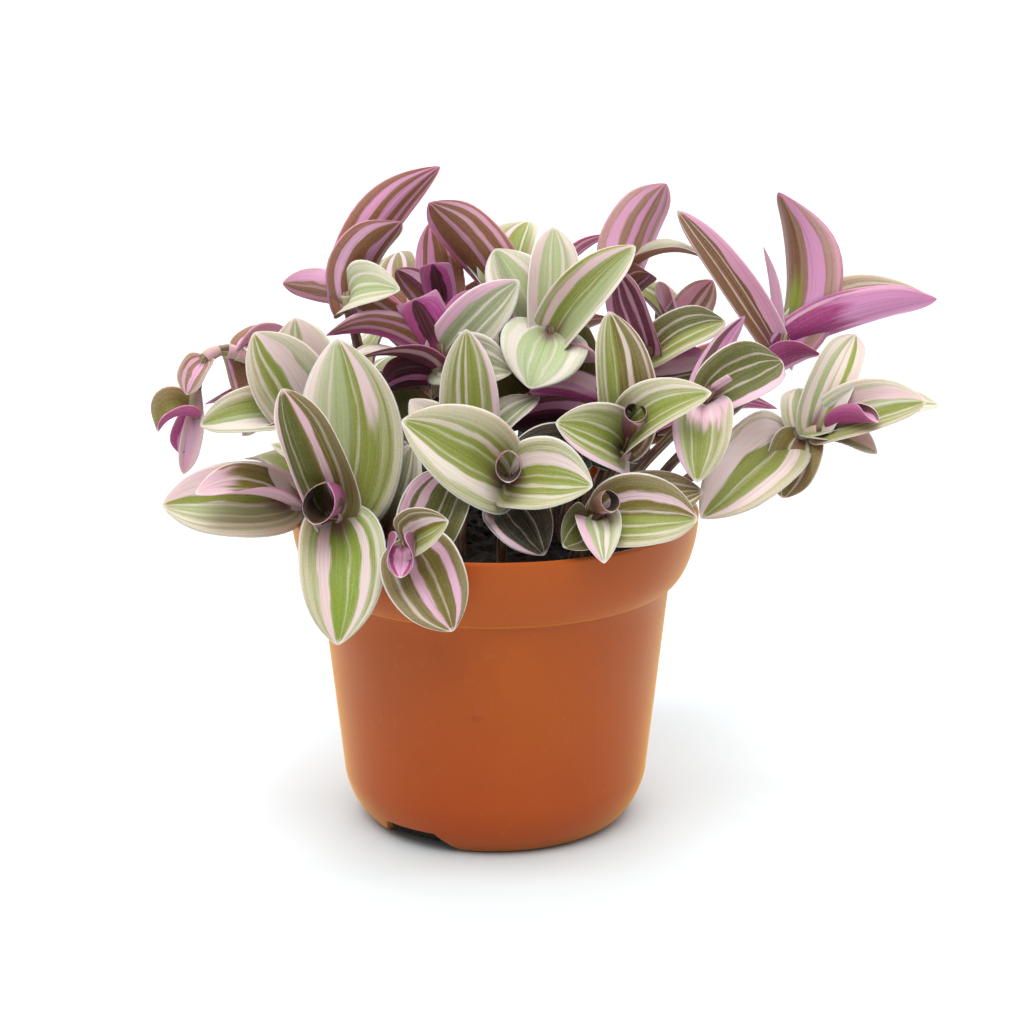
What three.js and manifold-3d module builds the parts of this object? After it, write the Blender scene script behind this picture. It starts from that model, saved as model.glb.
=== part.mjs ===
// A tradescantia in a 12 cm nursery pot, as a scene of one pot, its soil and one mesh for each leafy shoot.
// Millimetres, +Z up. The origin is on the pot's axis, on the surface that the pot stands on.
// Seen from the front (looking along +Y), +X is to the right.
import * as THREE from 'three';
import { mergeVertices } from 'three/addons/utils/BufferGeometryUtils.js';
import Module from 'manifold-3d';

const wasm = await Module();
wasm.setup();

// Pot: a thin moulded shell, wide at a rounded rim band, with a rounded foot and two drain channels.
const RIM_RADIUS = 60;
const POT_HEIGHT = 94;
const RIM_BAND_HEIGHT = 21;
const NECK_RADIUS = 51.7;
const RIM_ROUNDNESS = 1.8;
const BODY_FOOT_RADIUS = 45.4;
const FOOT_HEIGHT = 15.6;
const FOOT_INSET = 9.7;
const FOOT_ROUNDNESS = 1.6;
const WALL = 1.4;
const LIP_ROUND = 0.7;
const LIP_DRAW = 0.1;
const LEDGE_RISE = 0.5;
const FOOT_TURNS = [90, 60, 30, 0];
const RIM_RINGS = [0.96, 0.78, 0.42];
const POT_SIDES = 32;
const CHANNEL_ANGLES = [-36, 144];
const CHANNEL_HEIGHT = 6.5;
const CHANNEL_TOP_WIDTH = 17;
const CHANNEL_FOOT_WIDTH = 27;
const CHANNEL_INNER_END = 11;
const CHANNEL_OUTER_END = 50;
const DRAIN_RADIUS = 3;
const DRAIN_PLACES = [18, 28];
const DRAIN_SIDES = 12;

// How far a cutter runs past the face that it cuts.
const OVERRUN = 5;

// Soil: fills the pot to a little under the lip, with a lumpy top made by two crossing waves.
const SOIL_TOP = 84;
const SOIL_GAP = 0.3;
const SOIL_LUMP = 0.9;
const WAVE_ALONG_X = 0.31;
const WAVE_ALONG_Y = 0.27;
const WAVE_SHIFT = 1.2;
const SLANT_SHARE = 0.6;
const SLANT_ALONG_X = 0.13;
const SLANT_ALONG_Y = 0.36;
const SOIL_CELLS = 6;
const ABOVE_SOIL = 20;

// Stems: they stand in plain holes in the soil, rise straight and lean over to their growing tips.
const STEM_RADIUS = 1.7;
const STEM_SIDES = 5;
const STEM_STEPS = 24;
const STEM_RING_EVERY = 4;
const STEM_EASE = 0.35;
const ROOT_DEPTH = 12;
const HOLE_GAP = 0.4;
const STRAIGHT_ABOVE_SOIL = 2;

// Leaves: rows across each blade from base to tip, how round its outline is towards either end, how
// far its heart-shaped base reaches back, the fold along its midrib, and how thin its margins are.
const LEAF_THICKNESS = 1.2;
const MARGIN_THINNING = 0.4;
const LEAF_ROWS = [0, 0.18, 0.46, 0.77, 1];
const BUD_ROWS = [0, 0.3, 0.72, 1];
const BUD_HALF_COLUMNS = 3;
const BASE_ROUNDNESS = 0.5;
const TIP_ROUNDNESS = 0.62;
const LEAF_BASE_HALF = 0.9;
const BASE_LOBE = 0.13;
const LEAF_FOLD = 9;
const LEAF_SINK = 0.8;
const ROLLED_FROM = 100;
const NARROW_LEAF = 24.5;
const LEAST_WIDTH = 1e-4;

// Room between leaves: a leaf keeps clear of other shoots by thickness and by width, and where it can
// its outer rows keep clear of its own shoot's leaves. It gives way in steps of its tip.
const CLEAR_THICKNESS = 1.9;
const CLEAR_WIDTH = 0.5;
const CLEAR_TIP_FADE = 8;
const OUTER_ROWS = [0.3, 0.6, 1];
const GIVE_WAY_STEP = 3;
const STEPS_ASIDE = 2;
const STEPS_BACK = 4;
const BACK_IS_CHEAP = 0.3;
const VIEW_SLOPE = 0.27;
const SHORTER_SHARE = 0.8;
const OWN_TRIES = 70;

// Each shoot: name, root on the soil [x, y], growing tip, the way it grows there (longer where the stem
// arches over more), and its leaves.
// Each leaf: millimetres back from the growing tip, leaf tip, width, arch as a share of its length,
// turn of the margins in degrees, the way that its upper face looks, and a bow to its side or none.
const SHOOTS = [
  ["left_front", [-30, -24], [-47, -42, 103], [-0.25, -0.85, 0.3], [
    [10, [-44, -26, 150], 32, 0.03, 25, [0, -1, 0.2], -0.06],
    [5, [-58, -46, 140], 26, 0.05, 80, [0.25, -1, 0.2]],
    [7, [-43, -57, 70], 27, 0.14, 30, [0, -1, 0.2], 0.05],
    [2, [-49, -59, 105], 30, 0.02, 165, [0.2, 0.3, 1]],
    [16, [-63, -32, 121], 16, 0.1, 40, [-0.2, -0.3, 1]],
    [26, [-23, -28, 120], 18, 0.15, 40, [0, -1, 0.5]]]],
  ["left_low", [-40, -8], [-61, -14, 99], [-0.9, -0.3, 0.25], [
    [3, [-95, -24, 101], 25, 0.08, 30, [0, -1, 0.5]],
    [2, [-84, -34, 107], 18, 0.1, 75, [0, -0.6, 1]],
    [12, [-74, 10, 106], 20, 0.15, 30, [0, 0, 1]]]],
  ["middle_front", [2, -30], [4, -42, 114], [0, -0.85, 0.5], [
    [6, [-25, -54, 133], 28, 0.08, 25, [0, -1, 0.6]],
    [4, [27, -56, 115], 25, 0.1, 28, [0, -1, 0.7]],
    [1, [4, -56, 116], 24, 0.02, 170, [0, 0.3, 1]],
    [13, [14, -51, 94], 20, 0.15, 30, [0, -1, 0.5]]]],
  ["right_middle", [26, -22], [38, -34, 124], [0.1, -0.6, 0.75], [
    [6, [32, -28, 158], 22, 0.06, 50, [0.3, -1, 0.2]],
    [7, [60, -42, 138], 20, 0.22, 40, [-0.2, -1, 1]],
    [8, [17, -44, 130], 22, 0.16, 45, [0.2, -1, 0.5]],
    [2, [38, -47, 131], 20, 0.02, 160, [0.3, 0.3, 1]]]],
  ["right_front", [22, -38], [30, -50, 106], [0.1, -0.85, 0.45], [
    [6, [56, -53, 105], 24, 0.12, 35, [0, -1, 0.6]],
    [7, [30, -66, 96], 14, 0.2, 30, [0, -1, 1]],
    [9, [19, -57, 98], 16, 0.15, 35, [0, -1, 0.4]],
    [8, [55, -39, 115], 20, 0.08, 40, [0, -1, 1]],
    [2, [32, -61, 109], 18, 0.02, 170, [0, 0.3, 1]]]],
  ["rim_front", [-16, -42], [-25, -60, 99], [-0.1, -0.95, 0.1], [
    [5, [-12, -70, 109], 17, 0.1, 50, [-0.2, -1, 0.5]],
    [1, [-25, -73, 94], 22, 0.02, 150, [0, 0.2, 1]],
    [7, [-11, -70, 78], 25, 0.1, 30, [0, -1, 0.3]],
    [14, [-7, -45, 117], 21, 0.2, 30, [0, -1, 0.8]]]],
  ["middle_tall", [-10, -16], [-6, -24, 118], [0, -0.5, 0.85], [
    [6, [-8, -18, 151], 19, 0.05, 30, [0, -1, 0.2]],
    [8, [-24, -20, 131], 16, 0.1, 40, [0.2, -1, 0.2]],
    [10, [13, -12, 130], 16, 0.15, 40, [0, -0.4, 1]]]],
  ["top_middle", [10, 0], [16, -4, 149], [0, -0.4, 0.9], [
    [2, [10, -19, 134], 27, 0.1, 20, [0, -1, 0.5]],
    [6, [17, 8, 176], 21, 0.05, 60, [0.1, -1, 0.2]],
    [7, [40, -8, 173], 20, 0.1, 55, [-0.3, -1, 0.5]],
    [9, [0, 8, 170], 22, 0.1, 30, [0.2, -1, 0.3]],
    [14, [33, -18, 140], 16, 0.1, 40, [0, 0.6, 0.6]]]],
  ["right_low", [46, -6], [97, -10, 120], [0.8, -0.45, 0.25], [
    [14, [58, -38, 101], 26, 0.1, 35, [0, -1, 0.5]],
    [6, [105, 4, 145], 18, 0.2, 60, [-0.2, -1, 0.2]],
    [4, [123, -18, 130], 20, 0.12, 40, [-0.2, -1, 0.8]],
    [5, [129, -5, 126], 17, 0.08, 40, [0, -0.5, 1]],
    [9, [89, 4, 129], 14, 0.1, 30, [0, -1, 0.4]],
    [1, [108, -27, 126], 15, 0.05, 150, [0, 0.2, 1]],
    [8, [110, -15, 114], 14, 0.1, 40, [0, -0.5, 1]],
    [9, [83, -16, 101], 18, 0.15, 40, [0, -0.8, 0.6]]]],
  ["right_upper", [32, -14], [61, -28, 136], [0.3, -0.5, 0.75], [
    [6, [56, -48, 114], 20, 0.14, 40, [0, -1, 0.6]],
    [5, [82, -15, 141], 21, 0.12, 40, [0, -1, 0.7]],
    [9, [72, -4, 152], 10, 0.1, 50, [0, 1, 0.3]],
    [1, [66, -32, 140], 6, 0.02, 160, [0, 1, 0]]]],
  ["right_tall", [44, 8], [85, 6, 145], [0.1, -0.2, 1], [
    [5, [82, 8, 186], 26, 0.14, 50, [0.8, 0.8, 0], 0.05],
    [4, [127, -4, 157], 19, 0.04, 60, [0, 1, 0.6]],
    [6, [126, 18, 155], 16, -0.05, 25, [0, -1, 0.3], 0.14],
    [8, [53, 14, 180], 15, 0.06, 60, [0.3, -1, 0.3]],
    [12, [78, 9, 170], 9, 0.05, 40, [1, 0.3, 0]],
    [15, [94, -9, 142], 14, 0.1, 50, [0, 0.8, 0.6]]]],
  ["top_right", [26, 10], [38, 12, 163], [0.2, 0, 1], [
    [3, [50, 18, 187], 22, 0.1, 50, [-0.2, 1, 0.3]],
    [2, [62, 6, 167], 15, 0.18, 30, [0, 0, 1]],
    [9, [45, 4, 163], 14, 0.1, 50, [0, 1, 0.4]]]],
  ["inner_right", [20, -2], [45, -2, 143], [0.1, -0.35, 0.9], [
    [5, [67, 3, 149], 16, 0.2, 35, [0, -1, 0.9]],
    [9, [63, -14, 142], 12, 0.03, 40, [0, 1, 0.2]],
    [4, [35, -2, 165], 19, 0.05, 80, [-0.2, -1, 0.2]],
    [25, [66, 8, 132], 20, 0.1, 35, [0, -1, 0.5]],
    [34, [48, -18, 112], 20, 0.15, 35, [0, -1, 0.5]]]],
  ["inner_back_right", [30, 22], [54, 18, 148], [0.1, 0, 1], [
    [3, [48, 13, 159], 12, 0.05, 130, [0, -1, 0]],
    [5, [64, 15, 159], 15, 0.1, 50, [0, -1, 0.3]],
    [6, [38, 28, 156], 18, 0.1, 40, [0, 0, 1]],
    [7, [64, 42, 146], 18, 0.15, 40, [0, 0, 1]],
    [28, [34, 2, 132], 20, 0.1, 35, [0, -1, 0.5]],
    [34, [64, 24, 112], 20, 0.15, 35, [0, 0.2, 1]]]],
  ["inner_middle", [12, -14], [30, -14, 133], [-0.4, -0.5, 0.7], [
    [5, [10, -18, 130], 13, 0.16, 40, [0, 1, 0.4]],
    [10, [2, -22, 126], 17, 0.15, 40, [0, 1, 0.5]],
    [17, [31, -32, 118], 20, 0.15, 35, [0, -1, 0.6]],
    [23, [2, -32, 115], 18, 0.15, 35, [0, -1, 0.6]]]],
  ["high_left", [-30, 12], [-43, 8, 157], [-0.1, -0.2, 1], [
    [5, [-16, 18, 192], 19, 0.06, 40, [-0.3, 1, 0.3], -0.1],
    [4, [-27, 4, 178], 20, 0.08, 50, [-0.35, 0.9, 0.3], -0.08],
    [1, [-62, 10, 159], 12, 0.1, 40, [0, 1, 0.1]],
    [5, [-27, -6, 160], 18, 0.25, 30, [-0.1, -1, 0.8]]]],
  ["top_left", [-20, 4], [-16, -4, 144], [0, -0.3, 0.95], [
    [6, [-48, -12, 148], 15, 0.18, 40, [0, 0.7, 0.6]],
    [3, [-23, -10, 158], 26, 0.05, 100, [0, 1, 0]],
    [5, [-6, 0, 159], 13, 0.05, 60, [0, 1, 0.2]],
    [7, [7, -2, 162], 18, 0.1, 30, [0, -1, 0.5]],
    [8, [8, -16, 138], 20, 0.12, 30, [0, -1, 0.7]],
    [9, [-42, -21, 142], 17, 0.1, 30, [0, 0.2, 1]],
    [12, [-34, -16, 130], 17, 0.15, 40, [0, 1, 0.5]],
    [30, [-44, 4, 132], 19, 0.1, 35, [0.1, -1, 0.6]],
    [33, [-4, 0, 128], 19, 0.1, 35, [0, -1, 0.6]],
    [40, [-20, -16, 104], 18, 0.15, 35, [0, -1, 0.5]]]],
  ["high_inner", [-14, 12], [-15, 12, 154], [0, 0, 1], [
    [6, [-19, 23, 175], 17, 0.06, 40, [0, 1, 0.2]],
    [4, [-18, 4, 166], 16, 0.05, 80, [0, 1, 0]],
    [7, [-29, 8, 164], 14, 0.1, 60, [0, 1, 0.2]]]],
  ["high_middle", [0, 12], [3, 14, 160], [0, 0, 1], [
    [3, [-19, 12, 182], 21, 0.06, 45, [0, 1, 0.4]],
    [6, [10, 30, 174], 20, 0.15, 40, [0, 0, 1]],
    [8, [-8, 36, 160], 20, 0.15, 40, [0, 0, 1]]]],
  ["left_upper", [-30, -8], [-56, -14, 128], [-0.4, -0.5, 0.7], [
    [5, [-68, -18, 150], 25, 0.08, 30, [0.1, -1, 0.4]],
    [8, [-57, -7, 152], 25, 0.06, 30, [0, -1, 0.3]],
    [4, [-84, -18, 123], 17, 0.15, 40, [0, -1, 0.7]],
    [2, [-72, -22, 121], 12, 0.1, 50, [0, -0.6, 1]]]],
  ["left_far", [-40, 8], [-86, -10, 123], [0.1, -0.2, -2.4], [
    [1, [-97, -13, 120], 18, 0.3, 70, [0, -0.3, 1]],
    [2, [-91, -14, 114], 11, 0.1, 60, [0, 1, 0.3]],
    [18, [-88, -14, 131], 12, 0.12, 60, [-0.3, -1, 0.2]],
    [25, [-74, -4, 128], 11, 0.15, 60, [0.3, 1, 0]],
    [28, [-60, 6, 144], 13, 0.2, 40, [0, 0.3, 1]],
    [3, [-90, -12, 107], 8, 0.05, 50, [0.2, -1, 0]]]],
  ["shaded_middle", [17, 11], [18, 13, 120], [0.1, 0, 1], [
    [4, [26, 8, 148], 20, 0.1, 35, [0.1, -1, 0.4]],
    [6, [-4, 6, 140], 20, 0.1, 35, [0, -1, 0.4]],
    [10, [26, 30, 118], 20, 0.15, 35, [0, 0.2, 1]],
    [14, [12, -12, 108], 20, 0.15, 35, [0, -1, 0.5]]]],
];

// Shoots at the back, by a rule: how many, the first and last bearing round the pot, how far out and
// how high each kind's growing tip is, how much these stray, where it roots, and how it leans outward.
const BACK_SHOOTS = 6;
const BACK_FROM = 50;
const BACK_TO = 152;
const BACK_REACH = [80, 42, 60];
const BACK_TIP_HEIGHT = [106, 142, 122];
const BACK_STRAY = 6;
const ROOT_SHARE = 0.55;
const ROOT_LIMIT = 44;
const LEAN_REACH = 60;
const LEAN_RISE = 0.8;

// Their leaves: how many, the first one's place back from the growing tip and the next ones', the turn
// from one to the next round the stem, and how it strays; how far they spread; their length and width.
const BACK_LEAVES = 4;
const FIRST_BACK = 2;
const NEXT_BACK = 6;
const TURN_ON = 100;
const TURN_ACROSS = 80;
const TURN_STRAY = 40;
const SPREAD = 28;
const SPREAD_ON = 11;
const SHORTEST = 32;
const LONGER_ON = 3;
const LENGTH_STRAY = 5;
const TIP_BACK_ON = 4;
const WIDTH_SHARE = 0.52;
const WIDTH_STRAY = 0.1;
const BACK_ARCH = 0.12;
const BACK_CURL = 36;
const FACE_RISE = 0.6;
const BACK_BUD_REACH = 14;
const BACK_BUD = { back: 1, width: 18, arch: 0.02, curl: 165 };
const SEED = 41;

// A repeatable draw: the next number is this many times the last, within this range.
const DRAW_FACTOR = 16807;
const DRAW_RANGE = 2147483647;

// Vertices nearer than this are one.
const WELD = 1e-4;

const rad = THREE.MathUtils.degToRad;
const vec = (p) => new THREE.Vector3(...p);
const mix = (a, b, t) => a + (b - a) * t;

// The next draw, between 0 and 1.
let drawn = SEED;
function draw() {
  drawn = (drawn * DRAW_FACTOR) % DRAW_RANGE;
  return drawn / DRAW_RANGE;
}

// A closed geometry becomes a solid once its shared vertices are merged.
function solidOf(geometry) {
  const bare = geometry.clone();
  bare.deleteAttribute('normal');
  bare.deleteAttribute('uv');
  const merged = mergeVertices(bare, WELD);
  return solidFrom(merged.attributes.position.array, merged.index.array);
}

function solidFrom(positions, triangles) {
  const vertProperties = Float32Array.from(positions);
  const triVerts = Uint32Array.from(triangles);
  return new wasm.Manifold(new wasm.Mesh({ numProp: 3, vertProperties, triVerts }));
}

function geometryOf(solid) {
  const mesh = solid.getMesh();
  const geometry = new THREE.BufferGeometry();
  const places = new Float32Array(mesh.numVert * 3);
  for (let i = 0; i < mesh.numVert; i += 1) {
    for (let k = 0; k < 3; k += 1) places[i * 3 + k] = mesh.vertProperties[i * mesh.numProp + k];
  }
  geometry.setAttribute('position', new THREE.BufferAttribute(places, 3));
  geometry.setIndex(new THREE.BufferAttribute(mesh.triVerts, 1));
  geometry.computeVertexNormals();
  return geometry;
}

// Of what fusing leaves, the largest body, with any sealed hollow filled.
function largestBody(solid) {
  const bodies = solid.decompose();
  return bodies.reduce((best, body) => (body.volume() > best.volume() ? body : best));
}

// Turned solid about +Z from a profile of [radius, height] that starts and ends on the axis.
function turned(profile, sides) {
  const points = profile.map(([r, z]) => new THREE.Vector2(r, z));
  const geometry = new THREE.LatheGeometry(points, sides);
  geometry.rotateX(Math.PI / 2);
  return solidOf(geometry);
}

// Radius of the rim band's outside, which bulges from the neck out to the lip.
function rimRadius(z) {
  const down = (POT_HEIGHT - z) / RIM_BAND_HEIGHT;
  const bulge = (1 - down ** RIM_ROUNDNESS) ** (1 / RIM_ROUNDNESS);
  return NECK_RADIUS + (RIM_RADIUS - NECK_RADIUS) * bulge;
}

// The pot's outline from the axis under the floor up to the rim band, drawn in by inset.
function potOutline(inset) {
  const profile = [[0, inset]];
  for (const turn of FOOT_TURNS) {
    const across = Math.cos(rad(turn));
    const down = Math.sin(rad(turn));
    const radius = BODY_FOOT_RADIUS - FOOT_INSET * (1 - across ** (2 / FOOT_ROUNDNESS));
    const height = FOOT_HEIGHT * (1 - down ** (2 / FOOT_ROUNDNESS));
    profile.push([radius - inset * across, height + inset * down]);
  }
  profile.push([NECK_RADIUS - inset, POT_HEIGHT - RIM_BAND_HEIGHT + inset * LEDGE_RISE]);
  for (const down of RIM_RINGS) {
    const z = POT_HEIGHT - RIM_BAND_HEIGHT * down;
    profile.push([rimRadius(z) - inset, z + inset * LEDGE_RISE * down]);
  }
  return profile;
}

// The outside ends in a lip that is eased over; the inside runs straight up through the opening.
function potBody() {
  const lip = [[RIM_RADIUS - LIP_DRAW, POT_HEIGHT - LIP_ROUND], [RIM_RADIUS - WALL / 2, POT_HEIGHT]];
  return turned([...potOutline(0), ...lip, [0, POT_HEIGHT]], POT_SIDES);
}

function potInside(inset, top, sides) {
  return turned([...potOutline(inset), [RIM_RADIUS - inset, top], [0, top]], sides);
}

// A drain channel under the floor: a slope-sided groove from near the axis out through the foot.
function channel(angle, grow) {
  const shape = new THREE.Shape();
  const foot = CHANNEL_FOOT_WIDTH / 2 + grow;
  const top = CHANNEL_TOP_WIDTH / 2 + grow;
  shape.moveTo(-foot, -OVERRUN);
  shape.lineTo(foot, -OVERRUN);
  shape.lineTo(foot, 0);
  shape.lineTo(top, CHANNEL_HEIGHT + grow);
  shape.lineTo(-top, CHANNEL_HEIGHT + grow);
  shape.lineTo(-foot, 0);
  const length = CHANNEL_OUTER_END - CHANNEL_INNER_END + grow;
  const geometry = new THREE.ExtrudeGeometry(shape, { depth: length, bevelEnabled: false });
  geometry.rotateX(Math.PI / 2);
  geometry.translate(0, -(CHANNEL_INNER_END - grow), 0);
  geometry.rotateZ(rad(angle));
  return solidOf(geometry);
}

// A round hole or peg along Z.
function peg(radius, x, y, bottom, top, sides) {
  const geometry = new THREE.CylinderGeometry(radius, radius, top - bottom, sides);
  geometry.rotateX(Math.PI / 2);
  geometry.rotateZ(Math.PI / 2);
  geometry.translate(x, y, (bottom + top) / 2);
  return solidOf(geometry);
}

function makePot() {
  let inside = potInside(WALL, POT_HEIGHT + OVERRUN, POT_SIDES);
  for (const angle of CHANNEL_ANGLES) inside = inside.subtract(channel(angle, WALL));
  let pot = potBody().subtract(inside);
  for (const angle of CHANNEL_ANGLES) {
    pot = pot.subtract(channel(angle, 0));
    for (const place of DRAIN_PLACES) {
      const x = place * Math.sin(rad(angle));
      const y = -place * Math.cos(rad(angle));
      pot = pot.subtract(peg(DRAIN_RADIUS, x, y, 0, CHANNEL_HEIGHT + OVERRUN, DRAIN_SIDES));
    }
  }
  return pot;
}

// Height of the soil's lumpy top at a place.
function soilHeight(x, y) {
  const waves = Math.sin(x * WAVE_ALONG_X + WAVE_SHIFT) * Math.cos(y * WAVE_ALONG_Y);
  const slant = SLANT_SHARE * Math.sin(x * SLANT_ALONG_X - y * SLANT_ALONG_Y);
  return SOIL_TOP + SOIL_LUMP * (waves + slant);
}

function makeSoil(roots) {
  let soil = potInside(WALL + SOIL_GAP, SOIL_TOP + OVERRUN, POT_SIDES / 2);
  for (const angle of CHANNEL_ANGLES) soil = soil.subtract(channel(angle, WALL + SOIL_GAP));
  soil = soil.subtract(aboveSoil());
  for (const [x, y] of roots) {
    const floor = SOIL_TOP - ROOT_DEPTH - HOLE_GAP;
    soil = soil.subtract(peg(STEM_RADIUS + HOLE_GAP, x, y, floor, SOIL_TOP + OVERRUN, STEM_SIDES));
  }
  return largestBody(soil);
}

// What lies above the soil: a block whose underside follows the lumpy top.
function aboveSoil() {
  const side = 2 * RIM_RADIUS + OVERRUN;
  const geometry = new THREE.BoxGeometry(side, side, ABOVE_SOIL, SOIL_CELLS, SOIL_CELLS, 1);
  const place = geometry.attributes.position;
  for (let i = 0; i < place.count; i += 1) {
    const under = place.getZ(i) < 0;
    place.setZ(i, under ? soilHeight(place.getX(i), place.getY(i)) : SOIL_TOP + ABOVE_SOIL);
  }
  return solidOf(geometry);
}

// The line of a stem: up out of its hole, then over in one curve to the growing tip.
function stemLine(root, crown, way) {
  const start = new THREE.Vector3(root[0], root[1], SOIL_TOP + STRAIGHT_ABOVE_SOIL);
  const end = vec(crown);
  const reach = start.distanceTo(end);
  const rise = start.clone().add(new THREE.Vector3(0, 0, STEM_EASE * reach));
  const lead = end.clone().addScaledVector(vec(way), -STEM_EASE * reach);
  return new THREE.CubicBezierCurve3(start, rise, lead, end).getPoints(STEM_STEPS);
}

// The place a given length back from a stem's growing tip.
function placeBack(line, back) {
  let left = back;
  for (let i = line.length - 1; i > 0; i -= 1) {
    const step = line[i].distanceTo(line[i - 1]);
    if (left <= step || i === 1) return line[i].clone().lerp(line[i - 1], left / step);
    left -= step;
  }
  return line[0].clone();
}

function makeStem(line) {
  const rings = line.filter((point, i) => i % STEM_RING_EVERY === 0);
  rings.unshift(new THREE.Vector3(line[0].x, line[0].y, SOIL_TOP - ROOT_DEPTH));
  const positions = [];
  const triangles = [];
  let side = new THREE.Vector3(1, 0, 0);
  rings.forEach((point, i) => {
    const after = rings[Math.min(i + 1, rings.length - 1)];
    const before = rings[Math.max(i - 1, 0)];
    const along = after.clone().sub(before).normalize();
    if (i < 2) along.set(0, 0, 1);
    side = side.addScaledVector(along, -side.dot(along)).normalize();
    const other = along.clone().cross(side);
    for (let k = 0; k < STEM_SIDES; k += 1) {
      const angle = (k / STEM_SIDES) * 2 * Math.PI;
      const corner = point.clone();
      corner.addScaledVector(side, STEM_RADIUS * Math.cos(angle));
      corner.addScaledVector(other, STEM_RADIUS * Math.sin(angle));
      positions.push(...corner.toArray());
    }
  });
  for (let i = 0; i + 1 < rings.length; i += 1) {
    for (let k = 0; k < STEM_SIDES; k += 1) {
      const a = i * STEM_SIDES + k;
      const b = i * STEM_SIDES + ((k + 1) % STEM_SIDES);
      triangles.push(a, b, b + STEM_SIDES, a, b + STEM_SIDES, a + STEM_SIDES);
    }
  }
  const last = (rings.length - 1) * STEM_SIDES;
  for (let k = 1; k + 1 < STEM_SIDES; k += 1) {
    triangles.push(0, k + 1, k, last, last + k, last + k + 1);
  }
  return solidFrom(positions, triangles);
}

// Half width of a leaf along its length: full below the middle, drawn to a point.
function halfWidth(width, u) {
  const rounded = (share) => share ** BASE_ROUNDNESS * (1 - share) ** TIP_ROUNDNESS;
  const fullest = BASE_ROUNDNESS / (BASE_ROUNDNESS + TIP_ROUNDNESS);
  const leaf = (width / 2) * rounded(u) / rounded(fullest);
  return Math.max(leaf, LEAF_BASE_HALF * (1 - u));
}

// One leaf blade: arched along its length, rolled or channelled across it, lens-shaped in thickness.
function makeLeaf(base, tip, leaf, rows, thickness = LEAF_THICKNESS, wider = 0) {
  const [, , width, arch, curl, face, bow = 0] = leaf;
  const chord = tip.clone().sub(base);
  const length = chord.length();
  chord.normalize();
  const normal = vec(face).normalize();
  normal.addScaledVector(chord, -normal.dot(chord)).normalize();
  const across = normal.clone().cross(chord);
  const radius = width / 2 / rad(curl);
  const fold = rad(LEAF_FOLD);
  const flat = width < NARROW_LEAF ? 1 : 2;
  const half = isRolled(leaf) ? BUD_HALF_COLUMNS : flat;
  const columns = 2 * half + 1;
  const positions = [];
  const upper = [];
  const lower = [];
  const add = (point) => positions.push(...point.toArray()) / 3 - 1;
  rows.forEach((u, i) => {
    const wide = halfWidth(width, u) + wider * Math.min(1, CLEAR_TIP_FADE * (1 - u));
    const sweep = Math.max(wide, LEAST_WIDTH) / radius;
    const slope = arch * 4 * (1 - 2 * u);
    const lobe = isRolled(leaf) ? 0 : length * BASE_LOBE * (1 - u) ** 2;
    const middle = base.clone().addScaledVector(chord, length * u);
    middle.addScaledVector(normal, length * arch * 4 * u * (1 - u));
    middle.addScaledVector(across, length * bow * 4 * u * (1 - u));
    const up = normal.clone().addScaledVector(chord, -slope).normalize();
    upper.push([]);
    lower.push([]);
    for (let j = 0; j < columns; j += 1) {
      const v = (j - half) / half;
      const sign = Math.sign(v);
      const turn = fold + sweep * Math.abs(v);
      const out = (wide * (Math.sin(turn) - Math.sin(fold))) / sweep;
      const rise = (wide * (Math.cos(fold) - Math.cos(turn))) / sweep;
      const point = middle.clone().addScaledVector(across, sign * out).addScaledVector(up, rise);
      if (i > 0) point.addScaledVector(chord, -lobe * v * v);
      const tilt = v === 0 ? 0 : turn;
      const outward = up.clone().multiplyScalar(Math.cos(tilt));
      outward.addScaledVector(across, -sign * Math.sin(tilt));
      const rim = i === 0 || Math.abs(v) === 1;
      if (u === 1) {
        const end = j === 0 ? add(point) : upper[i][0];
        upper[i].push(end);
        lower[i].push(end);
      } else if (rim) {
        const edge = add(point);
        upper[i].push(edge);
        lower[i].push(edge);
      } else {
        const thick = (thickness / 2) * (1 - MARGIN_THINNING * v * v);
        upper[i].push(add(point.clone().addScaledVector(outward, thick)));
        lower[i].push(add(point.clone().addScaledVector(outward, -thick)));
      }
    }
  });
  const triangles = [];
  const put = (a, b, c) => {
    if (a !== b && b !== c && c !== a) triangles.push(a, b, c);
  };
  for (let i = 0; i + 1 < rows.length; i += 1) {
    for (let j = 0; j + 1 < columns; j += 1) {
      put(upper[i][j], upper[i + 1][j], upper[i + 1][j + 1]);
      put(upper[i][j], upper[i + 1][j + 1], upper[i][j + 1]);
      put(lower[i][j], lower[i + 1][j + 1], lower[i + 1][j]);
      put(lower[i][j], lower[i][j + 1], lower[i + 1][j + 1]);
    }
  }
  return solidFrom(positions, triangles);
}

// The tips that a leaf may take, nearest to its own first. It gives way backward or forward along a
// viewer's line rather than sideways, up or down, and when nothing is clear it is shorter.
function leafTips(base, leaf) {
  const moves = [];
  for (let x = -STEPS_ASIDE; x <= STEPS_ASIDE; x += 1) {
    for (let y = -STEPS_BACK; y <= STEPS_BACK; y += 1) {
      for (let z = -STEPS_ASIDE; z <= STEPS_ASIDE; z += 1) moves.push([x, y, z]);
    }
  }
  const cost = ([x, y, z]) => x * x + BACK_IS_CHEAP * y * y + z * z;
  moves.sort((one, other) => cost(one) - cost(other));
  const tips = moves.map(([x, y, z]) => {
    const move = new THREE.Vector3(x, y, z - VIEW_SLOPE * y).multiplyScalar(GIVE_WAY_STEP);
    return vec(leaf[1]).add(move);
  });
  const shorter = tips.map((tip) => base.clone().lerp(tip, SHORTER_SHARE));
  return [...tips, ...shorter];
}

function isRolled(leaf) {
  return leaf[4] >= ROLLED_FROM;
}

function pieceOf(name, solid) {
  return { name, solid, box: solid.boundingBox() };
}

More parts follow.
